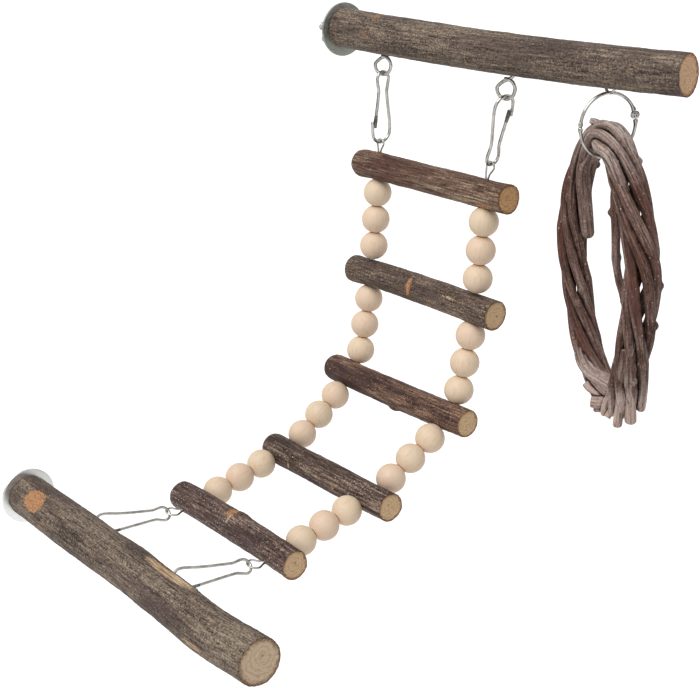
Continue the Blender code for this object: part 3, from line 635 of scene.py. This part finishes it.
UPPER_MARKS = (
    Mark(33, 112, 6, 4, -0.25, scar=0.5),
    Mark(32.5, 176, 5, 4, -0.2, scar=0.42),
    Mark(226, 176, 2.6, 3.4, 0.9, scar=0.38),
    Mark(226, 176, 7, 7, 0.35),
    Mark(210, 172, 9, 3.5, -0.1, bare=0.33),
    Mark(114, -150, 0.5, 5, 0.15, bare=0.75),
)
LOWER_MARKS = (
    Mark(22.5, 135, 8, 5.6, -0.4, scar=1.6),
    Mark(141, 73, 22, 4.2, -0.7, bare=0.95),
    Mark(182, -161, 9, 2.2, -0.5, bare=0.7),
    Mark(38, 172, 6, 1.5, -0.2, scar=0.45),
    Mark(86, -177, 8, 6, 0.7),
)
RUNG_MARKS = (
    (Mark(17, 105, 8, 4, 0.5, scar=0.42), Mark(110, -134, 9, 4, -0.2, scar=0.5), Mark(60, 130, 22, 3, -0.3)),
    (
        Mark(57.3, 165, 2.4, 7.5, 0.3, scar=0.68), Mark(74, -143, 4, 2, 0.1, scar=0.5),
        Mark(91, 152, 7, 1.6, 0.3, bare=0.45, scar=0.4),
    ),
    (Mark(62, -125, 3.5, 3.5, 1.2), Mark(98, -174, 2.2, 12, -0.35), Mark(40, 120, 12, 3, 0.3)),
    (
        Mark(25.6, -177, 0.8, 4, 0.2, bare=0.6), Mark(66.7, -177, 2.5, 1.6, 0.1, scar=0.55),
        Mark(80, 100, 10, 4, 0.4),
    ),
    (
        Mark(52.5, 97, 5, 4.5, 0.4, scar=0.62), Mark(54.5, 128, 0.8, 4.5, 0.1, bare=0.6),
        Mark(95, 108, 4, 1.6, 0.1, bare=0.45), Mark(56, 60, 4, 6, 0.6),
    ),
)
RUNG_SWELLS = (1.07, 1.08, 1.06, 1.07, 1.08)
RUNG_RAISES = (-0.7, -0.8, 0.2, -0.5, 1.0)


def make_sticks():
    """Both perches and the five rungs."""
    perch = Stick(
        "upper_perch", PERCH_BARK, PERCH_END, "perch_bark", UPPER_MARKS,
        lumps=0.3, ridges=0.18, swell=1.0, raise_=0.0, slant=2.4, worn=0.0, step=0.8, sides=96,
    )
    make_stick(perch, 1)
    perch = perch._replace(node="lower_perch", end=LOWER_PERCH_END, marks=LOWER_MARKS, ridges=0.22, slant=0.0)
    make_stick(perch, 2)
    for k, marks in enumerate(RUNG_MARKS):
        rung = Stick(
            f"rung_{k + 1}", RUNG_BARKS[k], RUNG_ENDS[k], "rung_bark", marks, lumps=0.42, ridges=0.18,
            swell=RUNG_SWELLS[k], raise_=RUNG_RAISES[k], slant=0.3, worn=0.03 if k else 0.06,
            step=0.6, sides=68,
        )
        make_stick(rung, 3 + k)


CAP_ANGLE = radians(75)


def neighbours(corners):
    return {edge.other_vert(corner) for corner in corners for edge in corner.link_edges}


def tube_line(node):
    """The middle points and radii of a tube-shaped solid, walked from one flat end to the other."""
    work = bmesh.new()
    work.from_mesh(frame["nodes"][node].data)
    bmesh.ops.remove_doubles(work, verts=work.verts, dist=1e-6)
    rims = {v for edge in work.edges if edge.calc_face_angle(0) > CAP_ANGLE for v in edge.verts}
    layer = set(next(face for face in work.faces if rims.issuperset(face.verts)).verts)
    for _ in rims:
        layer |= neighbours(layer) & rims
    centres, widths, seen = [], [], set()
    while layer:
        places = np.array([v.co for v in layer])
        centres.append(places.mean(0))
        widths.append(np.linalg.norm(places - places.mean(0), axis=1).mean())
        seen |= layer
        layer = neighbours(layer) - seen
    work.free()
    return np.array(centres), np.array(widths)


# Rows that close a wire's end: share of its radius, reach in radii, and surface
WIRE_END = ((0.94, 0.12, 0), (0.75, 0.34, 0), (0.4, 0.5, 0))
# Millimetres of dark sleeve on a gate
GATE_TIP = 4.5
EYE_GROWTH = 1.12
EYE_KINK = np.array((3.4, 2.0, 0)) * MM
LOWER_EYE_GROWTH = 1.2
RING_EYE_LIFT = 1.8 * MM
HOOK_STRETCH = {"left": 1.09, "right": 1.05}
HOOK_SQUEEZE = 0.95
LOOP_GROWTH = (1.3, 1.3, 1.0)
LOOP_ROLL = radians(10)
UPPER_THICKER, LOWER_THICKER = 1.35, 1.12


def wire_shape(node, seed, bend, thicker=1.0, sides=14, finer=5):
    """A smooth drawn wire over its solid, bent anew, with rounded ends."""
    centres, widths = tube_line(node)
    line = bend(smooth_row(centres, finer * (len(centres) - 1) + 1))
    across = np.cross(line[1] - line[0], (0.3, 0.5, 0.8))
    sweep = Sweep(line, sides, across, seed)
    radii = np.full((len(line), sides), widths.mean() * thicker)
    if node.endswith("_gate"):
        sweep.surface = gate_tip(sweep, node)
        radii = radii * (1 + 0.2 * sweep.surface)[:, None]
    return sweep.shape(radii, [(share, reach * widths[0], surface) for share, reach, surface in WIRE_END])


def gate_tip(sweep, node):
    """1 along the dark sleeve at a gate's free end, which is the end away from its spring."""
    spring = np.array(place_of("hook_gate_" + node[: -len("_gate")]))
    first, last = (np.linalg.norm(sweep.line[i] - spring) for i in (0, -1))
    reach = sweep.along if first > last else sweep.along[-1] - sweep.along
    return (reach < GATE_TIP).astype(int)


def close_eye(line):
    """Bends an eye's shank aside at its perch, and its ring, a little larger, shut against the shank."""
    line = line.copy()
    if line[0, 2] < line[-1, 2]:
        line = line[::-1]
    height = line[:, 2]
    foot = line[np.argmin(height)].copy()
    shank = np.arange(len(line)) < np.argmin(height)
    upper = ramp(height - foot[2], 5 * MM, 11 * MM)
    line = foot + (line - foot) * EYE_GROWTH
    line += np.outer(np.where(shank, upper, 0), EYE_KINK)
    middle = foot + (0, 0, np.ptp(line[~shank, 2]) / 2)
    spoke = line[-1] - middle
    axis = Vector(unit(np.cross(line[-1] - line[-6], spoke)))
    turns = [Matrix.Rotation(radians(-6 * k), 3, axis) for k in range(1, 6)]
    return np.concatenate((line, [middle + np.array(turn @ Vector(spoke)) for turn in turns]))


def widen_eye(line):
    """A lower eye, larger from the open end of its ring, so that its shank goes deeper into the perch."""
    rung = solid_points("rung_5").mean(0)
    away = np.linalg.norm((line - rung)[:, 1:], axis=1)
    root = line[0] if away[0] < away[-1] else line[-1]
    return root + LOWER_EYE_GROWTH * (line - root)


def lift_eye(line):
    """The ring's eye, screwed in deeper than its solid."""
    return line + (0, 0, RING_EYE_LIFT)


def relaxed(line):
    """A line with its small kinks drawn out of it."""
    line = line.copy()
    for _ in range(10):
        line[1:-1] = (line[:-2] + 2 * line[1:-1] + line[2:]) / 4
    return line


def lengthen(side):
    """Draws an upper hook and its gate out from the hook's top, as the real hooks are a little longer."""
    top = solid_points(f"upper_{side}_hook").max(0)
    return lambda line: top + (relaxed(line) - top) * (1, 1, HOOK_STRETCH[side])


def sink_loop(side):
    """Lowers a ladder wire's loop on the top rung, to meet the longer hook."""
    rung_top = solid_points("rung_1")[:, 2].max()
    sink = (HOOK_STRETCH[side] - 1) * np.ptp(solid_points(f"upper_{side}_hook")[:, 2])

    def bend(line):
        over = np.clip(line[:, 2] - rung_top, 0, None)
        return line - np.outer(sink * over / over.max(), (0, 0, 1))

    return bend


def open_loop(line):
    """Lets a ladder wire's loop stand out farther and wider from the lowest rung, and rolls it a little."""
    rung_side = solid_points("rung_5")[:, 1].min()
    out = rung_side - line[:, 1]
    root = line[out > 0].mean(0)
    root[1] = rung_side
    roll = np.array(Matrix.Rotation(LOOP_ROLL, 3, "Y"))
    grown = root + (line - root) * LOOP_GROWTH @ roll.T
    return line + ramp(out, 0, 3 * MM)[:, None] * (grown - line)


def draw_in(line):
    """Draws a lower hook and its gate away from the ladder, to sit at the end of the larger loop."""
    far_end = solid_points("lower_left_hook")[:, 1].min()
    line = relaxed(line)
    line[:, 1] = far_end + HOOK_SQUEEZE * (line[:, 1] - far_end)
    return line


def make_wires():
    """Snap hooks and their gates, screw eyes, and the wires that the beads hang on."""
    places = [(level, side) for level in ("upper", "lower") for side in ("left", "right")]
    for seed, (level, side) in enumerate(places):
        upper = level == "upper"
        thicker = UPPER_THICKER if upper else LOWER_THICKER
        for kind in ("hook", "gate"):
            node = f"{level}_{side}_{kind}"
            wire = wire_shape(node, 24 + 2 * seed, lengthen(side) if upper else draw_in, thicker)
            show(node, [wire], (NICKEL, DARK_NICKEL))
        node = f"{level}_{side}_eye"
        wire = wire_shape(node, 30 + seed, close_eye if upper else widen_eye, thicker)
        show(node, [wire], (NICKEL,))
    show("ring_eye", [wire_shape("ring_eye", 36, lift_eye)], (NICKEL,))
    for side in ("left", "right"):
        node = f"{side}_upper_wire"
        wire = wire_shape(node, 40, sink_loop(side), sides=10, finer=3)
        wire = show(node, [wire], (STEEL,), rides=False)
        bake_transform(wire)
        node = f"{side}_lower_wire"
        wire = wire_shape(node, 41, open_loop, sides=10, finer=3)
        wire = show(node, [wire], (STEEL,), rides=False)
        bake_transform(wire)


def turned(profile, steps, place, axis, across=(0.31, 0.53, 0.79), seed=0):
    """A closed (radius, height) profile turned round an axis."""
    z = np.array(Vector(axis).normalized())
    x = unit(np.cross(z, across))
    angles = np.arange(steps) * 2 * pi / steps
    out, flat = spokes(angles, x, np.cross(z, x)), spokes(angles, (0, 1, 0), (0, 0, 1))
    vertices, grain = [], []
    for radius, height in profile:
        vertices.append(np.array(place) + z * height + radius * out)
        grain.append((radius * flat + (height, 0, 0)) / MM)
    faces = loft(len(profile), steps, closed=True)
    return plain(np.concatenate(vertices), faces, np.concatenate(grain), seed)


def rounded(low_radius, high_radius, low, high, edge):
    """The profile of a washer-like ring with rounded edges."""
    corners = (
        (high_radius - edge, low + edge, -90),
        (high_radius - edge, high - edge, 0),
        (low_radius + edge, high - edge, 90),
        (low_radius + edge, low + edge, 180),
    )
    profile = []
    for radius, height, start in corners:
        for angle in np.radians(start + np.linspace(0, 90, 5)):
            profile.append((radius + edge * cos(angle), height + edge * sin(angle)))
    return profile


BEAD_SIDES = 48
BEAD_ROWS = 25


def make_beads():
    """Turned beads: a ball with its hole's edges eased."""
    for node in sorted(n for n in BODY_OF if n.startswith("bead_")):
        place, axis = place_of("spin_" + node), axis_of("spin_" + node)
        offset = solid_points(node) - np.array(place)
        radius = np.linalg.norm(offset, axis=1).max()
        height = np.abs(offset @ np.array(axis)).max()
        bore = np.linalg.norm(np.cross(offset, np.array(axis)), axis=1).min()
        profile = [(bore, 0.9 * height), (bore, -0.9 * height)]
        for angle in asin(height / radius) * np.linspace(-1, 1, BEAD_ROWS):
            profile.append((radius * cos(angle), radius * sin(angle)))
        number = sum(map(ord, node))
        across = (cos(number), sin(number), 0.4)
        bead = turned(profile, BEAD_SIDES, place, axis, across, seed=number % 97)
        bead.marks["tint"] = np.full(len(bead.vertices), 0.5 + 0.5 * sin(number * 2.3))
        show(node, [bead], (BEAD_WOOD,))


WASHER_SIDES = 96
WASHER_EDGE = 0.35 * MM
BOLT_SIDES = 24
BOLT_SUNK = 8 * MM
BOLT_PITCH = 0.8 * MM
THREAD_DEPTH = 0.42 * MM
STEPS_A_PITCH = 8
# Layers of a wing nut's wing: share of its outline, and share of half its thickness
WING_LAYERS = ((0.9, -1), (1.0, -0.6), (1.0, 0.6), (0.9, 1))
WING_THICKNESS = 2.2 * MM
NUT_HUB = 4.6 * MM


def threaded(place, axis, radius, low, high):
    """A closed rod with a screw thread."""
    heights = np.linspace(low, high, int((high - low) / BOLT_PITCH * STEPS_A_PITCH) + 1)
    rod = Sweep(np.array(place) + np.outer(heights, axis), BOLT_SIDES, np.cross(axis, (0, 0, 1)))
    phase = heights[:, None] / BOLT_PITCH + rod.angles / (2 * pi)
    depth = THREAD_DEPTH * np.abs(2 * (phase % 1) - 1)
    ease = ramp(high - heights, 0, BOLT_PITCH)[:, None]
    shape = rod.shape(radius - depth - 0.5 * THREAD_DEPTH * (1 - ease), ())
    return plain(shape.vertices, shape.faces, shape.vertices / MM)


def wing(place, axis, across, reach, height):
    """One rounded wing of a wing nut: a flat plate with eased edges."""
    z, x = np.array(axis), np.array(across)
    y = np.cross(z, x)
    tip = 0.27 * reach
    outline = [(0.75 * NUT_HUB, 0.08 * height), (NUT_HUB + 0.1 * reach, 0.2 * height)]
    for angle in np.radians(np.linspace(-60, 150, 13)):
        outline.append((reach - tip + tip * cos(angle), height - tip + tip * sin(angle)))
    outline.append((0.75 * NUT_HUB, 0.54 * height))
    outline = np.array(outline)
    middle, count = outline.mean(0), len(outline)
    layers = []
    for share, level in WING_LAYERS:
        flat = middle + (outline - middle) * share
        layer = np.outer(flat[:, 0], x) + np.outer(flat[:, 1], z) + y * level * WING_THICKNESS / 2
        layers.append(np.array(place) + layer)
    vertices = np.concatenate(layers)
    faces = loft(len(layers), count) + [tuple(range(count)), tuple(range(3 * count, 4 * count))]
    return plain(vertices, faces, vertices / MM)


def make_wall_fixings():
    """Penny washer, threaded bolt and wing nut behind each perch."""
    axis = Vector((1, 0, 0))
    for which, zinc in (("upper", ZINC), ("lower", BRIGHT_ZINC)):
        points = solid_points(which + "_washer")
        low, high = points.min(0), points.max(0)
        place = Vector((0, (low[1] + high[1]) / 2, (low[2] + high[2]) / 2))
        reach = np.hypot(points[:, 1] - place.y, points[:, 2] - place.z)
        profile = rounded(reach.min(), reach.max(), low[0], high[0], WASHER_EDGE)
        show(which + "_washer", [turned(profile, WASHER_SIDES, place, axis)], (zinc,))
        bolt = solid_points(which + "_hanger_bolt")
        radius = np.hypot(bolt[:, 1] - place.y, bolt[:, 2] - place.z).max()
        thread = threaded(place, -axis, radius, BOLT_SUNK - bolt[:, 0].max(), -bolt[:, 0].min())
        show(which + "_hanger_bolt", [thread], (STEEL,), 25)
        make_wing_nut(which, radius)


def make_wing_nut(which, bolt_radius):
    node = which + "_wing_nut"
    place, axis = place_of("nut_turn_" + which), Vector((-1, 0, 0))
    points = solid_points(node) - np.array(place)
    away = np.hypot(points[:, 1], points[:, 2])
    tip = points[np.argmax(away)]
    across = Vector((0, tip[1], tip[2])).normalized()
    height, reach = -points[:, 0].min(), away.max()
    profile = rounded(bolt_radius + 0.3 * MM, NUT_HUB, 0, 0.63 * height, 0.6 * MM)
    wings = [wing(place, axis, across * side, reach, height) for side in (-1, 1)]
    show(node, [turned(profile, 40, place, axis), *wings], (STEEL,), 50)


RING_TURN = radians(-6)
RING_WIRE = 0.85 * MM
RING_STEPS = 90
# Degrees round the ring
CLASP_AT = 180
CLASP_GAP = 0.6
KNUCKLE_CLEAR = 9


def ring_frame():
    """Middle, radius, directions and knuckle of the binder ring, from its joints, turned a little."""
    knuckle, foot = place_of("binder_ring_open"), place_of("ring_wreath_swing")
    aside = (knuckle - foot).to_2d().length
    rise = knuckle.z - foot.z
    radius = (aside**2 + rise**2) / (2 * rise)
    centre = foot + Vector((0, 0, radius))
    turn = Matrix.Rotation(RING_TURN, 3, "Z")
    normal = turn @ axis_of("binder_ring_open")
    if normal.x < 0:
        normal = -normal
    return centre, radius, normal, Vector((0, 0, 1)).cross(normal), centre + turn @ (knuckle - centre)


def make_ring():
    """A hinged binder ring: two half hoops, their lugs, the rivet and the clasp's collar."""
    centre, radius, normal, across, knuckle = ring_frame()
    offset = knuckle - centre
    at = degrees(atan2(offset.z, offset.dot(across)))
    halves = (
        ("binder_ring_upper", at + KNUCKLE_CLEAR, CLASP_AT - CLASP_GAP, -1),
        ("binder_ring_lower", at + 360 - KNUCKLE_CLEAR, CLASP_AT + CLASP_GAP, 1),
    )
    share = np.linspace(0, 1, RING_STEPS)
    collar = 1 + 0.4 * np.exp(-(((share - 0.975) / 0.02) ** 4))
    flat = 0.5 * bell(share, 0.04)
    ends = [(share, reach * RING_WIRE * 0.4, surface) for share, reach, surface in WIRE_END]
    lug = rounded(0.2 * MM, 2.1 * MM, 0.08 * MM, 0.95 * MM, 0.25 * MM)
    rivet = rounded(0.05 * MM, 1.35 * MM, -1.75 * MM, 0.9 * MM, 0.4 * MM)
    for seed, (node, first, last, side) in enumerate(halves, 50):
        angles = np.radians(np.linspace(first, last, RING_STEPS))
        line = np.array(centre) + radius * spokes(angles, across, (0, 0, 1))
        hoop = Sweep(line, 16, normal, 2 * seed)
        radii = RING_WIRE * collar[:, None] * (1 + np.outer(flat, np.abs(np.sin(hoop.angles))))
        shapes = [hoop.shape(radii, ends), turned(lug, 32, knuckle, normal * side, seed=seed)]
        if side < 0:
            shapes.append(turned(rivet, 24, knuckle, -normal, seed=seed))
        show(node, shapes, (NICKEL,))


VINE_SIDES = 26
VINE_END = ((0.97, 0.15 * MM, 0), (0.9, 0.3 * MM, 0), (0.84, 0.25 * MM, 1), (0.45, 0.2 * MM, 1))
BLUNT_END = ((0.96, 0.9 * MM, 0), (0.82, 1.9 * MM, 0), (0.58, 2.7 * MM, 0), (0.25, 3.1 * MM, 0))
VINE_RELIEF = ((0.35, (0.05, 0.2, 0.2)), (0.14, (0.04, 0.8, 0.8)))
# Millimetres between a vine's joints
JOINT_PITCH = 30.0
# Millimetres from another strand within which painted shade darkens a vine's skin
SHADE_REACH = 2.1 * MM
# Every how many points the painted shade between strands looks at a strand's own skin, and at the lines of strands
SHADE_STEP = 3
LINE_STEP = 5
# Points of its own line beside a place that a strand doesn't shade
OWN_REACH = 130
BUNDLE = 8 * MM
# How many millimetres the bundle parts by the loose vine, and how high up the oval
PARTING = 1.9
PARTED_RISE = 0.17
HANG = 11 * MM
HANG_STEPS = 24
CUT_STEPS = 90
LOOSE_STEPS = 160
# How far the loose vine stands aside, in millimetres, evenly down its length
LOOSE_ASIDE = (2.9, 1.6, -1.5, -3.1, -3.9, -1.2, -1.2, -1.0)


class Oval:
    """The wreath's own directions and size, from the solids of its vines."""

    def __init__(self):
        points = np.concatenate([solid_points(f"vine_{k}") for k in (1, 2, 3)])
        low, high = points.min(0), points.max(0)
        self.centre = (low + high) / 2
        self.half_height = (high[2] - low[2]) / 2
        offset = points - self.centre
        _, _, directions = np.linalg.svd(offset[:, :2], full_matrices=False)
        self.across = np.append(directions[0] * np.sign(directions[0][0]), 0)
        self.normal = np.cross((0, 0, 1), self.across)
        self.half_width = np.abs(offset @ self.across).max()
        self.lean = np.polyfit(offset[:, 2] / self.half_height, offset @ self.normal, 2)

    def shares(self, line):
        """How far a line lies up and across the oval, each from -1 to 1."""
        rise = (line[:, 2] - self.centre[2]) / self.half_height
        return rise, (line - self.centre) @ self.across / self.half_width

    def part(self, line):
        """Moves the outer half of the bundle aside where the loose vine stands clear of it."""
        rise, side = self.shares(line)
        clear = PARTING * bell(rise - PARTED_RISE, 0.2) * np.clip(2 * side, 0, 1)
        return line + MM * np.outer(clear, self.normal)

    def settle(self, line):
        """Moves a line as the real wreath hangs: its foot swung outward, its wall side in a little."""
        rise, side = self.shares(line)
        swing = (6.5 - 3.5 * np.clip(side, -1, 1)) * np.clip((1 - rise) / 2, 0, 1) ** 3.5
        tuck = 7 * np.clip(rise, 0, 1) * np.clip(-side, 0, 1)
        bulge = 2.6 * bell(rise + 0.25, 0.35) * np.clip(side, -0.3, 1)
        return line + MM * np.outer(0.8 + swing + tuck + bulge, self.normal)

    def point(self, around, inward, beside):
        """A place by the bundle's middle, some degrees round the oval where 90 is the top."""
        t = radians(around)
        inward = BUNDLE + inward * MM
        out = self.across * cos(t) * (self.half_width - inward)
        rise = (0, 0, sin(t) * (self.half_height - inward))
        lean = np.polyval(self.lean, sin(t))
        return self.centre + out + rise + self.normal * (lean + beside * MM)


# Cut ends of vine: millimetres of radius, and places in degrees round the oval, inward and beside
Cut = namedtuple("Cut", "radius pale ends places")
CUTS = {
    "fat_end": Cut(
        3.4, 0.45, BLUNT_END,
        ((116, 1, -1.5), (129, 4, -3.5), (144, 7, -1), (155, 8.5, 1), (164, 9, 2.5)),
    ),
    "pale_end": Cut(
        2.6, 0.4, VINE_END,
        ((42, -3, -4), (50, -5, -7), (59, -4.5, -8), (78, 1, -7.5), (99, 4, -1.5)),
    ),
    "low_left": Cut(
        3.7, 0.2, VINE_END,
        ((203, 0, 4.5), (215, -1, 0.5), (226, 1.8, -5), (238, 5.5, -6.5), (252, 7.5, -3), (267, 7.5, 2.5)),
    ),
    "low_stub": Cut(1.9, 0.5, VINE_END, ((256, 1.5, -1), (257, 1.5, -6), (251, 1.5, -9), (246, 1.5, -10))),
    "low_pale": Cut(3.4, 1.0, VINE_END, ((267, 1.5, 1.5), (263, -1, -5), (257, -2.5, -9.5))),
    "low_tip": Cut(1.8, 0.6, VINE_END, ((270, 0, 0), (274, -3.5, -4), (274, -6.5, -6.5))),
    "hang_near": Cut(
        2.3, 0.9, VINE_END,
        ((-27, 1, -6.5), (-36, -0.5, -7.5), (-60, 0.5, -4.5), (-73, -10, -5.5)),
    ),
    "hang_middle": Cut(2.7, 0.9, VINE_END, ((-19, 1, -4.5), (-32, -3, -5.5), (-51, -3.5, -2), (-66, -10, 0))),
    "hang_far": Cut(2.1, 0.5, VINE_END, ((-15, 0.5, -1), (-27, -3, 0.5), (-41, -5, 3), (-59, -7, 5))),
    "top_stub": Cut(1.5, 0.0, VINE_END, ((94, -3, 1), (99, -7, -2), (103, -8.5, -4.5))),
}
Strand = namedtuple("Strand", "node line radii seed pale ends")


def painted_gap_shade(skin, strands, own):
    """Painted shade between strands: how near the skin of a strand is to strands that it faces, 1 where they
    touch, 0 from SHADE_REACH away.
    """
    places = skin.reshape(-1, 3)
    outward = unit((skin - own.line[::SHADE_STEP, None]).reshape(-1, 3))
    rows = np.repeat(np.arange(len(skin)), skin.shape[1])
    shade = np.zeros(len(places))
    for strand in strands:
        line, radii = strand.line[::LINE_STEP], strand.radii[::LINE_STEP]
        square = (places**2).sum(1)[:, None] + (line**2).sum(1) - 2 * places @ line.T
        gap = np.sqrt(np.maximum(square, 0)) - radii
        if strand is own:
            at = np.arange(len(own.line))[::LINE_STEP]
            gap[np.abs(rows[:, None] * SHADE_STEP - at) < OWN_REACH] = np.inf
        facing = (outward * unit(line[gap.argmin(1)] - places)).sum(1)
        touch = np.clip(1 - gap.min(1) / SHADE_REACH, 0, 1)
        shade = np.maximum(shade, touch * ramp(facing, -0.25, 0.25))
    return shade.reshape(skin.shape[:2])


def vine_shape(strand, strands, oval):
    """A woody vine along a line: uneven thickness, joints with buds, furrowed bark, painted shade where it lies
    close to other strands, and painted light that makes the wreath's top paler.
    """
    line, seed = strand.line, strand.seed
    sweep = Sweep(line, VINE_SIDES, (0.2, 0.9, 0.1), seed)
    along = sweep.along
    radii = strand.radii * (1 + 0.2 * drift(along, 7.3 * seed, 0.028))
    radii = np.repeat(radii[:, None], VINE_SIDES, 1)
    radii = roughened(radii, sweep.places(radii), VINE_RELIEF)
    scar = np.zeros(radii.shape)
    for k in range(int(along[-1] / JOINT_PITCH)):
        at = JOINT_PITCH * (k + 0.5 + 0.3 * sin(5.1 * k + seed))
        around = (137.5 * k + 71 * seed) % 360
        radii = radii + 0.25 * MM * bell(along - at, 2.8)[:, None]
        bud = mark_shares(sweep, radii.mean(), Mark(at, around, 1.7, 1.5, 1.0))
        radii = radii + (0.8 + 0.5 * sin(2.7 * k + seed)) * MM * bud
        scar = np.maximum(scar, 0.25 * bud)
    rise, side = oval.shares(line)
    ripe = np.clip(1.6 * along / along[-1], 0.1, 1)
    pale_share_and_top_light = strand.pale * ripe + 0.6 * drift(along, 3.1 * seed, 0.014)
    # Paler towards the top and the bottom of the oval; at the top this is painted light from above. Less pale
    # towards the wall side
    pale_share_and_top_light += 1.1 * ramp(np.abs(rise), 0.62, 0.97) - 0.3 * np.clip(-side, 0, 1)
    bleached = ripe * ramp(-rise, 0.66, 0.88)
    tone = np.clip(pale_share_and_top_light, 0, 1) + bleached
    # Painted shade where this strand's skin faces another strand closely
    shade = painted_gap_shade(sweep.skin(radii)[::SHADE_STEP], strands, strand)
    shade = np.repeat(shade, SHADE_STEP, 0)[: len(line)]
    tone = np.repeat(tone[:, None], VINE_SIDES, 1)
    sweep.marks = {"scar": scar, "bare": np.zeros(scar.shape), "tone": tone, "painted_shade": shade}
    return sweep.shape(radii, strand.ends)


def hang(line):
    """A vine's line with both ends drawn out and bent down, as cut ends hang at the wreath's foot."""
    share = np.linspace(0, 1, HANG_STEPS + 1)[1:]
    ends = []
    for end, before in ((line[0], line[8]), (line[-1], line[-9])):
        ahead = unit(end - before)
        ends.append(end + HANG * (np.outer(share - share**2 / 2, ahead) - np.outer(share**2 / 2, (0, 0, 1))))
    return np.concatenate((ends[0][::-1], line, ends[1]))


def wander(line, seed, reach):
    """Small sideways wandering of a vine's line, by a reach in millimetres."""
    moves = [drift(lengths(line), 17.7 * seed, 0.03, 9.1 * k) for k in range(3)]
    return line + reach * MM * np.column_stack(moves)


def wreath_strands(oval):
    """The lines of three long vines wound round an oval, and of the cut ends that stand out of it."""
    strands = []
    for k in (1, 2, 3):
        centres, widths = tube_line(f"vine_{k}")
        count = 12 * (len(centres) - 1) + 1
        line = hang(wander(oval.part(oval.settle(smooth_row(centres, count))), k - 1, 1.3))
        radii = np.pad(smooth_row(widths, count), HANG_STEPS, mode="edge")
        strands.append(Strand(f"vine_{k}", line, radii, 59 + k, 0.0, VINE_END))
    for k, cut in enumerate(CUTS.values()):
        line = np.array([oval.point(*place) for place in smooth_row(cut.places, CUT_STEPS)])
        line = wander(oval.part(oval.settle(line)), 10 + k, 0.4)
        radii = np.full(CUT_STEPS, cut.radius * MM)
        strands.append(Strand(f"vine_{k % 3 + 1}", line, radii, 70 + k, cut.pale, cut.ends))
    return strands


def loose_strand(oval):
    """The thin vine that hangs loose inside the oval, and joins the others lower down."""
    centres, widths = tube_line("vine_inner")
    line = oval.settle(smooth_row(centres, LOOSE_STEPS))
    share, aside = np.linspace(0, 1, LOOSE_STEPS), smooth_row(LOOSE_ASIDE, LOOSE_STEPS)
    if line[0, 2] < line[-1, 2]:
        share, aside = share[::-1], aside[::-1]
    joining = ramp(share, 0.65, 1)
    aside = aside + 9 * joining**1.5
    line = line + MM * (np.outer(aside, oval.normal) + np.outer(9 * joining, oval.across))
    return Strand("vine_inner", line, np.full(LOOSE_STEPS, 0.92 * widths.mean()), 64, 0.1, VINE_END)


def make_wreath():
    """The vines of the wreath: each long one with its share of the cut ends, and the loose one."""
    oval = Oval()
    strands, loose = wreath_strands(oval), loose_strand(oval)
    for node in ("vine_1", "vine_2", "vine_3", "vine_inner"):
        shapes = [vine_shape(strand, strands, oval) for strand in [*strands, loose] if strand.node == node]
        show(node, shapes, (VINE_BARK, VINE_CUT))


def card(name, corners, colour):
    """A flat, matt piece of the studio, and its paint."""
    paint = Paint(name + "_paint", 0.0)
    mesh = bpy.data.meshes.new(name)
    mesh.from_pydata(corners, [], [(0, 1, 2, 3)])
    mesh.materials.append(paint.finish(colour, 1.0))
    return link(name, mesh), paint


def make_floor():
    """A large pale floor that keeps soft shadows."""
    half, height = FLOOR_SIZE / 2, CAD_BOX[0].z - FLOOR_DROP
    corners = [(x * half, y * half, height) for x, y in ((-1, -1), (1, -1), (1, 1), (-1, 1))]
    floor, paint = card("floor", corners, rgb(236, 236, 236))
    paint.feed(paint.inputs["Emission Color"], WHITE)
    paint.feed(paint.inputs["Emission Strength"], paint.times(paint.shown(), FLOOR_GLOW))


def make_flags():
    """Dark studio cards that only shiny metal sees, so that wire shows dark edges."""
    low, high = Vector((0, 0, FLAG_LOW)), Vector((0, 0, FLAG_HIGH))
    for name, side in (("flag_left", -1), ("flag_right", 1)):
        middle = CAMERA_RIGHT * side * FLAG_ASIDE + CAMERA_BACK * FLAG_BACK
        along = (CAMERA_BACK - CAMERA_RIGHT * side * FLAG_TURN).normalized() * FLAG_HALF
        near, far = middle + along, middle - along
        flag, _ = card(name, [far + low, near + low, near + high, far + high], (0.01, 0.01, 0.01, 1))
        for kind in ("camera", "diffuse", "transmission", "shadow"):
            setattr(flag, "visible_" + kind, False)


def make_light():
    """An even white world, white to the camera and to metal, and one broad lamp from the upper left."""
    world = bpy.data.worlds.new("studio")
    bpy.context.scene.world = world
    world.use_nodes = True
    sky = Nodes(world.node_tree)
    strength = sky.add("MapRange", {"Value": sky.shown(), "To Min": WORLD_LIGHT})
    background = sky.tree.nodes["Background"].inputs
    sky.feed(background["Color"], WHITE)
    sky.feed(background["Strength"], strength.outputs["Result"])
    lamp = bpy.data.lights.new("key", "SUN")
    lamp.energy = KEY_LIGHT
    lamp.angle = KEY_SPREAD
    towards = CAMERA_BACK * KEY_BACK + CAMERA_RIGHT * KEY_RIGHT + Vector((0, 0, KEY_UP))
    link("key", lamp).rotation_euler = towards.to_track_quat("Z", "Y").to_euler()


def make_camera():
    data = bpy.data.cameras.new("camera")
    data.sensor_width = 36.0
    data.lens = FOCAL_PIXELS / IMAGE_WIDTH * data.sensor_width
    camera = link("camera", data)
    camera.location = CAMERA_PLACE
    camera.rotation_euler = CAMERA_TURN
    bpy.context.scene.camera = camera


make_sticks()
make_beads()
make_wires()
make_wall_fixings()
make_ring()
make_wreath()
make_floor()
make_light()
make_flags()
make_camera()
bpy.context.scene.view_settings.view_transform = "Standard"
